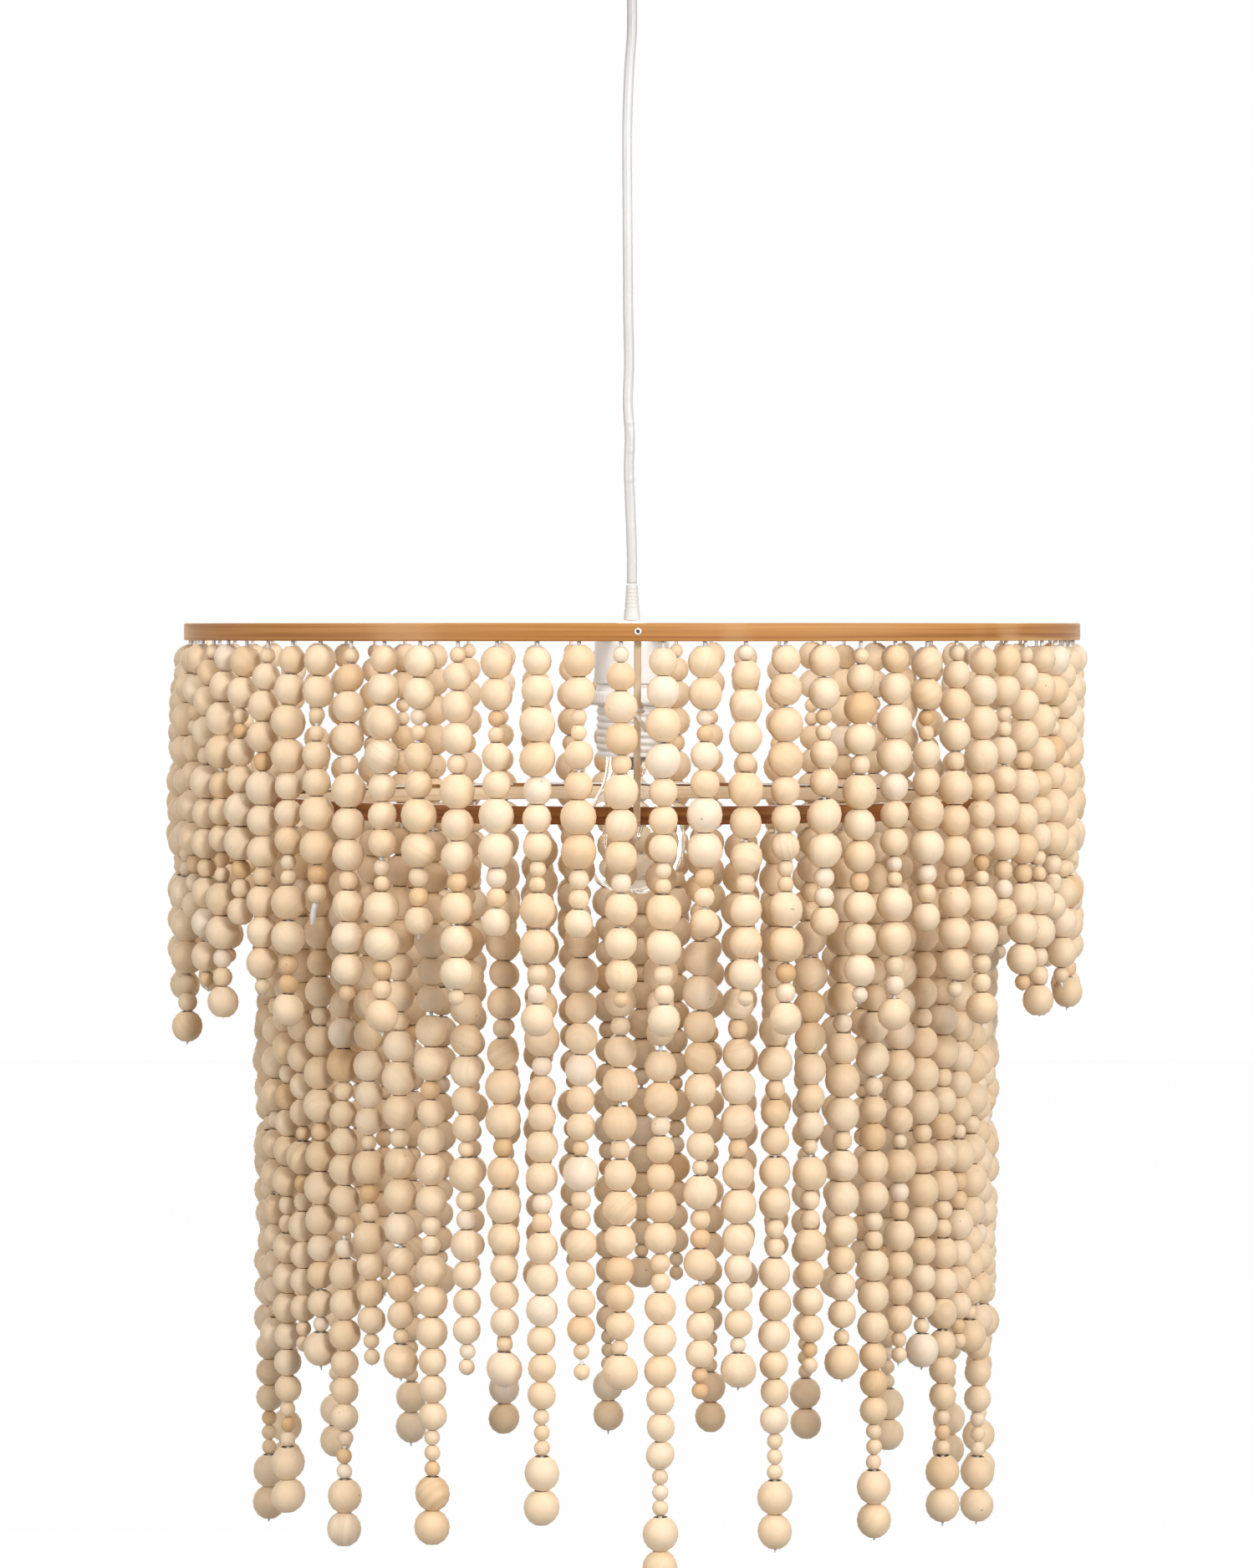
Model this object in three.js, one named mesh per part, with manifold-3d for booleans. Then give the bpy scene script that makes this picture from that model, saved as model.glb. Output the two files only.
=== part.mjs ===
// Beaded chandelier: two bamboo hoops, one below the other, each hung with a curtain of wooden
// bead strands, around a bulb whose lampholder hangs from the ceiling on its cord.
// Millimetres and degrees. +Z is up, the origin is on the ceiling, and the front faces -Y.

import * as THREE from "three";
import { mergeVertices } from "three/addons/utils/BufferGeometryUtils.js";
import Module from "manifold-3d";

const wasm = await Module();
wasm.setup();

// Clearances
const seatGap = 0.3; // between two pieces that touch
const tipGap = 0.7; // between two end faces that tip against each other
const turnGap = 0.35; // between a turning ring and what it turns on
const overrun = 1; // how far a cut runs past the face that it leaves
const mergeDistance = 0.0003; // corners closer than this are one corner

// Hoops: each is an outer band and an inner carrier strip of bent bamboo, with a slot between
// them for the threads
const ceilingDrop = 413; // from the ceiling to the upper hoop's top
const tierDrop = 95.4; // from the upper hoop's top to the lower hoop's
const upperRadius = 250;
const tierInset = 48; // how much smaller the lower hoop's radius is
const hoopHeight = 9.4;
const bandThickness = 1.8;
const slotWidth = 4.4;
const carrierThickness = 2.8;
const upperHoopSides = 56;
const lowerHoopSides = 44;

// Bead strands: a bead is as long as it is wide
const beadDiameter = { X: 18, L: 16.5, M: 14.5, t: 10.2, s: 8.2 };
const smallBeads = "ts"; // these are narrow enough to be a neck between larger ones
const strandClearance = 2.6; // least room between the largest beads of two neighbours
const strandSides = 3;
const neckDiameter = 5.2; // where two beads meet
const threadDiameter = 1.6;
const threadGap = 1.6; // bare thread between a hoop and its first bead
const tailLength = 4; // thread left under the last bead
const tapeThickness = 1; // of the flat thread tape that a group of strands hangs from
const tapeLap = 1.8; // how far the tape lies over the carrier strip
const tapeEdge = 1.1; // from the threads' line to the tape's outer edge
const tapeGap = 0.8; // the tape stands off the carrier, so that the group can swing
const tapeSteps = 2;

// The strands' beads from the top down. A space is a pinch between two swellings
const strandBeads = {
  long: "ML XX MMM ss XX tt L",
  longer: "ML XX MMM ss XXX tt L",
  short: "LL ss MM XX tt M",
  middle: "s MLL t X LL t LLL s",
  lowerLong: "LLL XMML X t MM LL tt LLL MMM sss XX",
  lowerShort: "MMttX X LLL MM s X tt L MMM ss",
  lowerMiddle: "MLXXML t L XX t LXL MMM s X",
  lowerLongest: "LLLL XMML X t MM LL tt LLL MMM sss XX",
  lowerLess: "LLL XML X t MM LL tt LLL MMM sss XX",
};
const upperCycle = ["long", "short", "middle"];
const upperOddPlace = 3; // in the first group, where the maker hung one more short strand
const upperLongerGroup = 15; // whose last strand has one bead too many
const lowerCycle = ["lowerLong", "lowerShort", "lowerMiddle"];
const addedOnTop = { "0.1": "t ", "4.0": "t ", "15.0": "M", "17.0": "s " }; // by group.place, below
const upperGroups = 18;
const lowerGroups = 20;
const upperFirstAngle = -31.3; // of the first strand, from the front towards +X
const lowerFirstAngle = 4.3;

// Struts: flat bamboo sticks from the upper hoop's inside to the lower hoop's outside
const strutCount = 4;
const strutAngle = 0.7;
const strutWidth = 4.6;
const strutThickness = 2.4;
const strutBendShare = 0.5; // of the hoop's height, where the stick leaves the hoop's face

// Crossbars: two half-lapped bars that carry the lampholder in the upper hoop
const barAngle = 45.7;
const barWidth = 12;
const barHeight = 7;

// Lampholder and what clamps it
const nippleDiameter = 9.6;
const nippleBore = 6.4;
const nutAcross = 17;
const nutSides = 6;
const nutHeight = 2.2;
const nippleReach = 6; // how far the nipple goes on inside the cap
const reliefHeight = 20;
const reliefFoot = 9.4;
const reliefTip = 6.6;
const capDiameter = 42.6;
const capHeight = 25.3;
const capWall = 2.2;
const capRounding = 3;
const bodyDiameter = 40;
const bodyHeight = 40.4;
const bodyWall = 3.2; // from the outside of the ribs to the bore
const bodyPlate = 6.1; // solid top of the body, over the contact block
const ribCount = 5;
const ribDepth = 0.9;
const ribPitch = 5;
const ringWidth = 5; // from the body's outside to the ring's
const ringHeight = 8;
const ringDrop = 3.6; // from the body's top to the ring's
const ringChamfer = 1.6;
const contactDiameter = 26;
const contactThickness = 5;
const holderSides = 16;

// Bulb
const bulbLength = 106;
const glassDiameter = 60;
const glassNeck = 29;
const glassLeaveAngle = 30; // above the ball's middle, where its line is left
const screwDiameter = 26.4;
const screwLength = 25;
const screwTip = 10;
const screwTipLength = 4;
const bulbSides = 16;
const glassSteps = 3;

// Cord
const cordDiameter = 6;
const cordSides = 8;

// Ceiling fitting
const cupDiameter = 90;
const cupHeight = 50;
const cupWall = 1.4;
const cupRounding = 9;
const cupSides = 20;
const strapEndGap = 7.6; // from the strap's ends to the cup's wall
const strapWidth = 16;
const strapThickness = 2;
const screwHole = 4.4;
const screwHoleInset = 11; // from the strap's ends to the middles of the holes
const gripHeight = 12;
const gripDiameter = 16;
const gripTip = 8.4;
const gripSocket = 7; // how deep the stem goes into the grip

// Heights and radii that follow from the sizes above
const lowerRadius = upperRadius - tierInset;
const strandInset = bandThickness + slotWidth / 2; // from a hoop's outside to its threads
const hoopWidth = bandThickness + slotWidth + carrierThickness;
const carrierDrop = tapeGap + tapeThickness; // so that the tape's top is level with the band's
const upperTop = -ceilingDrop;
const lowerTop = upperTop - tierDrop;
const flatShare = (sides) => Math.cos(Math.PI / sides); // of a polygon's radius, at its flats
const upperInside = (upperRadius - hoopWidth) * flatShare(upperHoopSides);
const barTop = upperTop - (hoopHeight - barHeight) / 2;
const nutBottom = barTop + seatGap;
const reliefBottom = nutBottom + nutHeight + seatGap;
const reliefTop = reliefBottom + reliefHeight;
const capTop = barTop - barHeight - seatGap;
const bodyTop = capTop - capHeight - seatGap;
const bodyBore = bodyDiameter - 2 * bodyWall;
const ringDiameter = bodyDiameter + 2 * ringWidth;
const contactTop = bodyTop - bodyPlate - seatGap;
const bulbTop = contactTop - contactThickness - seatGap;
const strapLength = cupDiameter - 2 * (cupWall + strapEndGap);
const screwHoleSpacing = strapLength - 2 * screwHoleInset;
const cupBottom = -cupHeight;
const gripTop = cupBottom - seatGap;
const gripBottom = gripTop - gripHeight;
const stemBottom = gripTop - gripSocket + seatGap;

// The cord's centre line, from the grip down to the strain relief: it is a little creased
const cordRoute = [
  [0, 0, gripBottom - tipGap],
  [0, 0, -80],
  [-1.6, 0.2, -104],
  [-2.7, 0.3, -135],
  [-2.6, 0, -170],
  [-2.3, -0.3, -205],
  [-2.1, 0, -240],
  [-1.6, 0.4, -268],
  [-2.3, 0.2, -290],
  [-1.2, -0.2, -308],
  [-1.7, 0, -326],
  [-1, 0.2, -346],
  [-0.3, 0, -364],
  [0, 0, -376],
  [0, 0, reliefTop + tipGap],
].map((point) => new THREE.Vector3(...point));

const finish = (color, roughness, metalness = 0) =>
  new THREE.MeshStandardMaterial({ color, roughness, metalness });
const goldenBamboo = finish(0xb98a4e, 0.55);
const darkBamboo = finish(0x7c4a2a, 0.55);
const paleBamboo = finish(0xd9bf8e, 0.6);
const creamWood = finish(0xe8d6b6, 0.6);
const whitePlastic = finish(0xe9e8e4, 0.4);
const cordJacket = finish(0xe7e7e5, 0.4);
const greyCeramic = finish(0xc9c6be, 0.6);
const clearGlass = finish(0xdfe8e8, 0.05);
const nickel = finish(0xb9b6ae, 0.3, 1);

// Helpers

const point = (radius, height) => new THREE.Vector2(radius, height);

/** A profile of [radius, height] points turned about the Z axis, with its first corner in front. */
function turned(profile, sides, start = 0) {
  const points = profile.map((p) => (p.isVector2 ? p : point(...p)));
  return new THREE.LatheGeometry(points, sides, start).rotateX(Math.PI / 2);
}

/** A solid round bar between two heights. */
function rod(radius, bottom, top, sides) {
  const middle = (top + bottom) / 2;
  const bar = new THREE.CylinderGeometry(radius, radius, top - bottom, sides);
  return bar.rotateX(Math.PI / 2).translate(0, 0, middle);
}

/** A box from its size and the middle of its top face. */
function block(length, width, height, top) {
  return new THREE.BoxGeometry(length, width, height).translate(0, 0, top - height / 2);
}

/** A closed geometry as a manifold, so that it can be joined to or cut by another. */
function solid(geometry) {
  const bare = geometry.clone();
  bare.deleteAttribute("normal");
  bare.deleteAttribute("uv");
  const merged = mergeVertices(bare, mergeDistance);
  const corners = merged.index.array;
  const kept = [];
  for (let i = 0; i < corners.length; i += 3) {
    const [a, b, c] = corners.slice(i, i + 3);
    if (a !== b && b !== c && c !== a) kept.push(a, b, c);
  }
  return new wasm.Manifold(
    new wasm.Mesh({
      numProp: 3,
      vertProperties: new Float32Array(merged.attributes.position.array),
      triVerts: new Uint32Array(kept),
    }),
  );
}

/** A manifold as a geometry again. */
function geometryOf(manifold) {
  const mesh = manifold.getMesh();
  const geometry = new THREE.BufferGeometry();
  geometry.setAttribute("position", new THREE.BufferAttribute(mesh.vertProperties, 3));
  geometry.setIndex(new THREE.BufferAttribute(mesh.triVerts, 1));
  geometry.computeVertexNormals();
  return geometry;
}

const chandelier = new THREE.Group();

/** Adds one named piece, turned about Z and moved up. */
function add(name, geometry, material, angle = 0, height = 0) {
  const mesh = new THREE.Mesh(geometry, material);
  mesh.name = name;
  mesh.rotation.z = THREE.MathUtils.degToRad(angle);
  mesh.position.z = height;
  chandelier.add(mesh);
}

// Hoops

/** One bamboo strip, bent into a ring. A hoop's band has its top at height 0. */
function strip(outerRadius, thickness, drop, sides) {
  const innerRadius = outerRadius - thickness;
  const profile = [
    [innerRadius, -hoopHeight],
    [outerRadius, -hoopHeight],
    [outerRadius, -drop],
    [innerRadius, -drop],
    [innerRadius, -hoopHeight],
  ];
  return turned(profile, sides);
}

for (const [tier, radius, sides, top, bamboo] of [
  ["upper", upperRadius, upperHoopSides, upperTop, goldenBamboo],
  ["lower", lowerRadius, lowerHoopSides, lowerTop, darkBamboo],
]) {
  const carrierRadius = radius - bandThickness - slotWidth;
  add(`${tier}_hoop_outer`, strip(radius, bandThickness, 0, sides), bamboo, 0, top);
  const carrier = strip(carrierRadius, carrierThickness, carrierDrop, sides);
  add(`${tier}_hoop_inner`, carrier, paleBamboo, 0, top);
}

// Bead strands

/** A strand's profile: bellies at the beads' middles, with a neck between two large swellings. */
function strandProfile(beads) {
  // a polygon as wide across as the bead has its corners a little further out than the bead
  const corner = (diameter) => diameter / 2 / Math.sin(Math.PI / strandSides);
  let depth = hoopHeight + threadGap;
  const profile = [
    [0, -tapeThickness / 2],
    [corner(threadDiameter), -tapeThickness / 2],
    [corner(threadDiameter), -depth],
  ];
  let largeAbove = false;
  for (const swelling of beads.split(" ")) {
    const diameters = [...swelling].map((bead) => beadDiameter[bead]);
    const length = diameters.reduce((sum, diameter) => sum + diameter, 0);
    const large = !smallBeads.includes(swelling[0]);
    if (large && largeAbove) profile.push([corner(neckDiameter), -depth]);
    profile.push([corner(Math.max(...diameters)), -(depth + length / 2)]);
    depth += length;
    largeAbove = large;
  }
  profile.push([0, -(depth + tailLength)]);
  return profile.reverse();
}

/** The flat thread tape of one group, an arc that lies over the carrier and the slot. */
function tape(circleRadius, halfAngle) {
  const outline = new THREE.Shape();
  const front = -Math.PI / 2;
  const inner = circleRadius - slotWidth / 2 - tapeLap;
  const outer = circleRadius + tapeEdge;
  outline.absarc(0, 0, outer, front - halfAngle, front + halfAngle, false);
  outline.absarc(0, 0, inner, front + halfAngle, front - halfAngle, true);
  const settings = { depth: tapeThickness, bevelEnabled: false, curveSegments: tapeSteps };
  return new THREE.ExtrudeGeometry(outline, settings).translate(0, 0, -tapeThickness);
}

/** A group of strands on one thread tape, with the group's middle in front. */
function strandGroup(strands, circleRadius, pitchAngle) {
  const tapeEnd = (tapeLap + tapeEdge) / circleRadius;
  let group = solid(tape(circleRadius, (pitchAngle * (strands.length - 1)) / 2 + tapeEnd));
  strands.forEach((beads, i) => {
    const angle = (i - (strands.length - 1) / 2) * pitchAngle;
    const strand = turned(strandProfile(beads), strandSides);
    strand.translate(0, -circleRadius, 0).rotateZ(angle);
    group = group.add(solid(strand));
  });
  return geometryOf(group);
}

/** All the groups of one hoop. A smaller hoop or a larger bead leaves room for fewer strands. */
function curtain(tier, radius, top, groups, firstAngle, beadsOf) {
  const circleRadius = radius - strandInset;
  const leastPitch = beadDiameter.X + strandClearance;
  const perGroup = Math.max(1, Math.floor((2 * Math.PI * circleRadius) / groups / leastPitch));
  const pitchAngle = (2 * Math.PI) / (groups * perGroup);
  for (let g = 0; g < groups; g++) {
    const strands = Array.from({ length: perGroup }, (_, i) => beadsOf(g, i));
    const middle = g * perGroup + (perGroup - 1) / 2;
    const angle = firstAngle + THREE.MathUtils.radToDeg(middle * pitchAngle);
    const name = `${tier}_strands_${String(g + 1).padStart(2, "0")}`;
    add(name, strandGroup(strands, circleRadius, pitchAngle), creamWood, angle, top);
  }
}

/** The upper strands follow one cycle round the hoop. In the first group the maker hung one strand
 * too many, which shifts the cycle as far as the back. */
function upperBeads(group, place) {
  if (group === 0 && place === upperOddPlace) return strandBeads.short;
  if (group === upperLongerGroup && place === upperOddPlace) return strandBeads.longer;
  const shift = group > 0 && group < upperGroups / 2 ? upperCycle.length - 1 : 0;
  return strandBeads[upperCycle[(group + place + shift) % upperCycle.length]];
}

/** The lower strands follow one cycle in each group, but for a longer strand and a shorter one,
 * and for a few that have one more bead on top. */
function lowerBeads(group, place) {
  if (place === 0 && group === 0) return strandBeads.lowerLongest;
  if (place === 0 && group === lowerGroups - 1) return strandBeads.lowerLess;
  const added = addedOnTop[`${group}.${place}`] ?? "";
  return added + strandBeads[lowerCycle[place % lowerCycle.length]];
}

curtain("upper", upperRadius, upperTop, upperGroups, upperFirstAngle, upperBeads);
curtain("lower", lowerRadius, lowerTop, lowerGroups, lowerFirstAngle, lowerBeads);

// Struts

/** A stick's side view, drawn as distance from the axis and height, then given its width. */
function strut() {
  const upperFace = upperInside - seatGap;
  const lowerFace = lowerRadius + seatGap + strutThickness;
  const bend = hoopHeight * strutBendShare;
  const line = [
    [upperFace, upperTop],
    [upperFace, upperTop - bend],
    [lowerFace, lowerTop - bend],
    [lowerFace, lowerTop - hoopHeight],
  ];
  const back = line.map(([radius, height]) => [radius - strutThickness, height]).reverse();
  const outline = new THREE.Shape([...line, ...back].map((place) => point(...place)));
  const stick = new THREE.ExtrudeGeometry(outline, { depth: strutWidth, bevelEnabled: false });
  // the drawing's axes become the front direction and up
  return stick.translate(0, 0, -strutWidth / 2).rotateX(Math.PI / 2).rotateZ(-Math.PI / 2);
}

for (let i = 0; i < strutCount; i++) {
  add(`strut_${i + 1}`, strut(), paleBamboo, strutAngle + (i * 360) / strutCount);
}

// Crossbars

/** One bar with its half of the lap cut away, from above or from below, and the nipple's hole. */
function crossbar(lapFromTop) {
  const length = 2 * (upperInside - seatGap) * Math.cos(barWidth / 2 / upperInside);
  const lapDepth = (barHeight + seatGap) / 2;
  const lapTop = lapFromTop ? barTop + overrun : barTop - barHeight + lapDepth;
  const lap = block(barWidth + 2 * seatGap, barWidth + 2 * overrun, lapDepth + overrun, lapTop);
  const hole = rod(
    nippleDiameter / 2 / flatShare(holderSides) + seatGap,
    barTop - barHeight - overrun,
    barTop + overrun,
    holderSides,
  );
  const bar = solid(block(length, barWidth, barHeight, barTop));
  return geometryOf(bar.subtract(solid(lap)).subtract(solid(hole)));
}

add("crossbar_lower", crossbar(true), paleBamboo, barAngle);
add("crossbar_upper", crossbar(false), paleBamboo, barAngle + 90);

// Lampholder

/** The hollow threaded nipple with its hexagon nut, which clamps the cap to the bars. */
function nipple() {
  const bottom = capTop - nippleReach;
  const top = nutBottom + nutHeight;
  const tube = solid(rod(nippleDiameter / 2, bottom, top - seatGap, holderSides));
  const nut = solid(rod(nutAcross / 2 / flatShare(nutSides), nutBottom, top, nutSides));
  const bore = solid(rod(nippleBore / 2, bottom - overrun, top + overrun, holderSides / 2));
  return geometryOf(tube.add(nut).subtract(bore));
}

/** The cap: a round cover with a rounded shoulder and a hole for the nipple. */
function holderCap() {
  const outer = capDiameter / 2;
  const hole = nippleDiameter / 2 / flatShare(holderSides) + seatGap;
  const bottom = capTop - capHeight;
  return turned(
    [
      [outer - capWall, bottom],
      [outer, bottom],
      [outer, capTop - capRounding],
      [outer - capRounding * (1 - Math.SQRT1_2), capTop - capRounding * (1 - Math.SQRT1_2)],
      [outer - capRounding, capTop],
      [hole, capTop],
      [hole, capTop - capWall],
      [outer - capWall, capTop - capWall - capRounding],
      [outer - capWall, bottom],
    ],
    holderSides,
  );
}

/** The body: a plate over a tube, with ribs like a coarse thread for the shade ring. */
function holderBody() {
  const outer = bodyDiameter / 2;
  const ribs = [];
  const lastRib = bodyTop - bodyHeight + ribDepth;
  for (let i = 0; i < ribCount; i++) {
    const low = lastRib + i * ribPitch;
    ribs.push([outer, low + ribPitch / 2], [outer - ribDepth, low + ribPitch]);
  }
  return turned(
    [
      [0, bodyTop - bodyPlate],
      [bodyBore / 2, bodyTop - bodyPlate],
      [bodyBore / 2, bodyTop - bodyHeight],
      [outer - ribDepth, bodyTop - bodyHeight],
      [outer - ribDepth, lastRib],
      ...ribs,
      [outer, bodyTop - ringDrop / 2],
      [outer, bodyTop],
      [0, bodyTop],
    ],
    holderSides,
  );
}

/** The shade ring, a chamfered collar that turns on the body. */
function shadeRing() {
  const inner = (bodyDiameter / 2 + turnGap) / flatShare(holderSides);
  const outer = ringDiameter / 2;
  const top = bodyTop - ringDrop;
  return turned(
    [
      [inner, top - ringHeight],
      [outer - ringChamfer, top - ringHeight],
      [outer, top - ringHeight + ringChamfer],
      [outer, top - ringChamfer],
      [outer - ringChamfer, top],
      [inner, top],
      [inner, top - ringHeight],
    ],
    holderSides,
  );
}

/** The strain relief, a tapered sleeve that stands on the nut. */
function strainRelief() {
  const collar = (reliefFoot - reliefTip) / 2;
  return turned(
    [
      [0, reliefBottom],
      [reliefFoot / 2, reliefBottom],
      [reliefFoot / 2, reliefBottom + collar],
      [reliefTip / 2, reliefTop],
      [0, reliefTop],
    ],
    holderSides / 2,
  );
}

add("strain_relief", strainRelief(), whitePlastic);
add("holder_nipple", nipple(), nickel);
add("holder_cap", holderCap(), whitePlastic);
add("holder_body", holderBody(), whitePlastic);
add("shade_ring", shadeRing(), whitePlastic);
add(
  "contact_block",
  rod(contactDiameter / 2, contactTop - contactThickness, contactTop, holderSides / 2),
  greyCeramic,
);

// Bulb

/** The screw cap, with its contact tip on top. */
function bulbScrew() {
  const shoulder = bulbTop - screwTipLength;
  return turned(
    [
      [0, bulbTop - screwLength],
      [screwDiameter / 2, bulbTop - screwLength],
      [screwDiameter / 2, shoulder],
      [screwTip / 2, bulbTop],
      [0, bulbTop],
    ],
    bulbSides,
  );
}

/** The glass: a ball below, drawn up in one smooth line to the neck. */
function bulbGlass() {
  const ball = glassDiameter / 2;
  const top = bulbTop - screwLength - seatGap;
  const bottom = bulbTop - bulbLength;
  const centre = bottom + ball;
  const leave = THREE.MathUtils.degToRad(glassLeaveAngle);
  const start = point(ball * Math.cos(leave), centre + ball * Math.sin(leave));
  const reach = (top - start.y) / 2;
  const outline = new THREE.Path();
  outline.absarc(0, centre, ball, -Math.PI / 2, leave, false);
  outline.bezierCurveTo(
    start.x - reach * Math.sin(leave),
    start.y + reach * Math.cos(leave),
    glassNeck / 2,
    top - reach,
    glassNeck / 2,
    top,
  );
  const points = outline.getPoints(glassSteps);
  points[0].x = 0;
  return turned([...points, point(0, top)], bulbSides);
}

add("bulb_screw_cap", bulbScrew(), nickel);
add("bulb_glass", bulbGlass(), clearGlass);

// Cord

/** The cord: a round section carried along its route. */
function cord() {
  const section = new THREE.Shape();
  section.absarc(0, 0, cordDiameter / 2, 0, 2 * Math.PI, false);
  const route = new THREE.CatmullRomCurve3(cordRoute, false, "centripetal");
  return new THREE.ExtrudeGeometry(new THREE.Shape(section.getSpacedPoints(cordSides)), {
    steps: cordRoute.length - 1,
    extrudePath: route,
  });
}

add("supply_cord", cord(), cordJacket);

// Ceiling fitting

/** The cup: a round cover, open against the ceiling, with a hole for the bracket's stem. */
function ceilingCup() {
  const outer = cupDiameter / 2;
  const hole = nippleDiameter / 2 / flatShare(cupSides) + seatGap;
  const inner = outer - cupWall;
  const bend = cupRounding * (1 - Math.SQRT1_2);
  return turned(
    [
      [hole, cupBottom],
      [outer - cupRounding, cupBottom],
      [outer - bend, cupBottom + bend],
      [outer, cupBottom + cupRounding],
      [outer, 0],
      [inner, 0],
      [inner, cupBottom + cupRounding],
      [outer - cupRounding, cupBottom + cupWall],
      [hole, cupBottom + cupWall],
      [hole, cupBottom],
    ],
    cupSides,
  );
}

/** The bracket: a steel strap on the ceiling with two screw holes and a hollow threaded stem. */
function ceilingBracket() {
  const strap = solid(block(strapLength, strapWidth, strapThickness, 0));
  const stem = solid(rod(nippleDiameter / 2, stemBottom, -strapThickness / 2, holderSides / 2));
  const boreTop = -strapThickness - nippleDiameter;
  const bore = solid(rod(nippleBore / 2, stemBottom - overrun, boreTop, holderSides / 2));
  let bracket = strap.add(stem).subtract(bore);
  for (const side of [-1, 1]) {
    const hole = rod(screwHole / 2, -strapThickness - overrun, overrun, holderSides / 2);
    bracket = bracket.subtract(solid(hole.translate((side * screwHoleSpacing) / 2, 0, 0)));
  }
  return geometryOf(bracket);
}

/** The cord grip: a tapered nut that holds the cup up on the stem and clamps the cord. */
function cordGrip() {
  const socket = nippleDiameter / 2 / flatShare(holderSides / 2) + seatGap;
  const straight = gripHeight / 2;
  return turned(
    [
      [0, gripBottom],
      [gripTip / 2, gripBottom],
      [gripDiameter / 2, gripTop - straight],
      [gripDiameter / 2, gripTop],
      [socket, gripTop],
      [socket, gripTop - gripSocket],
      [0, gripTop - gripSocket],
    ],
    holderSides,
  );
}

add("ceiling_bracket", ceilingBracket(), nickel);
add("ceiling_cup", ceilingCup(), whitePlastic);
add("cord_grip", cordGrip(), whitePlastic);

export default chandelier;
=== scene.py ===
# %% [markdown]
# # A beaded chandelier, dressed in Blender
# Two bamboo hoops hang one below the other round a bulb. Each hoop carries a curtain of wooden
# bead strands, every bead drilled and threaded by hand. The solids of the lamp come from a CAD
# frame with moving bodies, and this lesson dresses them: it computes each surface with numpy,
# gives it a material made of shader nodes, and lets it ride on the body it belongs to.

# %% Load the frame
import math

import bpy
import numpy as np
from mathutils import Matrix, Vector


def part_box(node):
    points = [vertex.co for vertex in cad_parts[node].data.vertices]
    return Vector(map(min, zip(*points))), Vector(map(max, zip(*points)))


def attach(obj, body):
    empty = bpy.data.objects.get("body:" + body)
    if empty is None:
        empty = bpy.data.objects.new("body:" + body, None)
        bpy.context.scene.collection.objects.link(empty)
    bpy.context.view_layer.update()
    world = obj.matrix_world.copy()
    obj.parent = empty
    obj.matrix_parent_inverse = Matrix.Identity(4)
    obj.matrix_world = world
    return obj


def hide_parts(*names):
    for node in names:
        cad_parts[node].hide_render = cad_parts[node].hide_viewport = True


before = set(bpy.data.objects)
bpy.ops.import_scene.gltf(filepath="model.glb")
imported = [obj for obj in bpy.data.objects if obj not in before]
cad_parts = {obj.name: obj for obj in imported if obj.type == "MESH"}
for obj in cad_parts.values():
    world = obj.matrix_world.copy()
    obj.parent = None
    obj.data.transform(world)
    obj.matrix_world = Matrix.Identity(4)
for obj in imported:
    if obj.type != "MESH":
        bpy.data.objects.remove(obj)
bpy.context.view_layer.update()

MM = 0.001
FULL_TURN = 2 * math.pi
UP = np.array([0.0, 0.0, 1.0])


def extent(node):
    """Top, bottom and radius of a CAD node. The radius is half of its width along X."""
    low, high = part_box(node)
    return high[2], low[2], (high[0] - low[0]) / 2


def directions(angle):
    """Two level unit vectors, at an angle from the front towards +X: outwards and sideways."""
    sine, cosine = math.sin(angle), math.cos(angle)
    return np.array([sine, -cosine, 0]), np.array([cosine, sine, 0])


# %% [markdown]
# ## The camera
# The photograph was taken level with the upper hoop: its top and bottom edges both look straight.
# A camera that is shifted down instead of tilted keeps all the strands upright, as an
# architect's camera does. The lens follows from the distance and from the size of one pixel.

# %% Make the camera
PHOTO_SIZE = 1500, 1876
AXIS_PIXEL = 756, 750  # where the lamp's axis meets the level of the camera
CAMERA_DISTANCE = 2.75
CAMERA_HEIGHT = -0.415
PIXEL_AT_AXIS = 0.468 * MM
SENSOR = 36  # millimetres

camera_data = bpy.data.cameras.new("camera")
camera_data.sensor_width = SENSOR
camera_data.lens = SENSOR * CAMERA_DISTANCE / (PHOTO_SIZE[1] * PIXEL_AT_AXIS)
camera_data.shift_x = (PHOTO_SIZE[0] / 2 - AXIS_PIXEL[0]) / PHOTO_SIZE[1]
camera_data.shift_y = (AXIS_PIXEL[1] - PHOTO_SIZE[1] / 2) / PHOTO_SIZE[1]
camera = bpy.data.objects.new("camera", camera_data)
camera.location = 0, -CAMERA_DISTANCE, CAMERA_HEIGHT
camera.rotation_euler = math.pi / 2, 0, 0
bpy.context.scene.collection.objects.link(camera)
bpy.context.scene.camera = camera
print("lens in mm:", round(camera_data.lens, 1))
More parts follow.
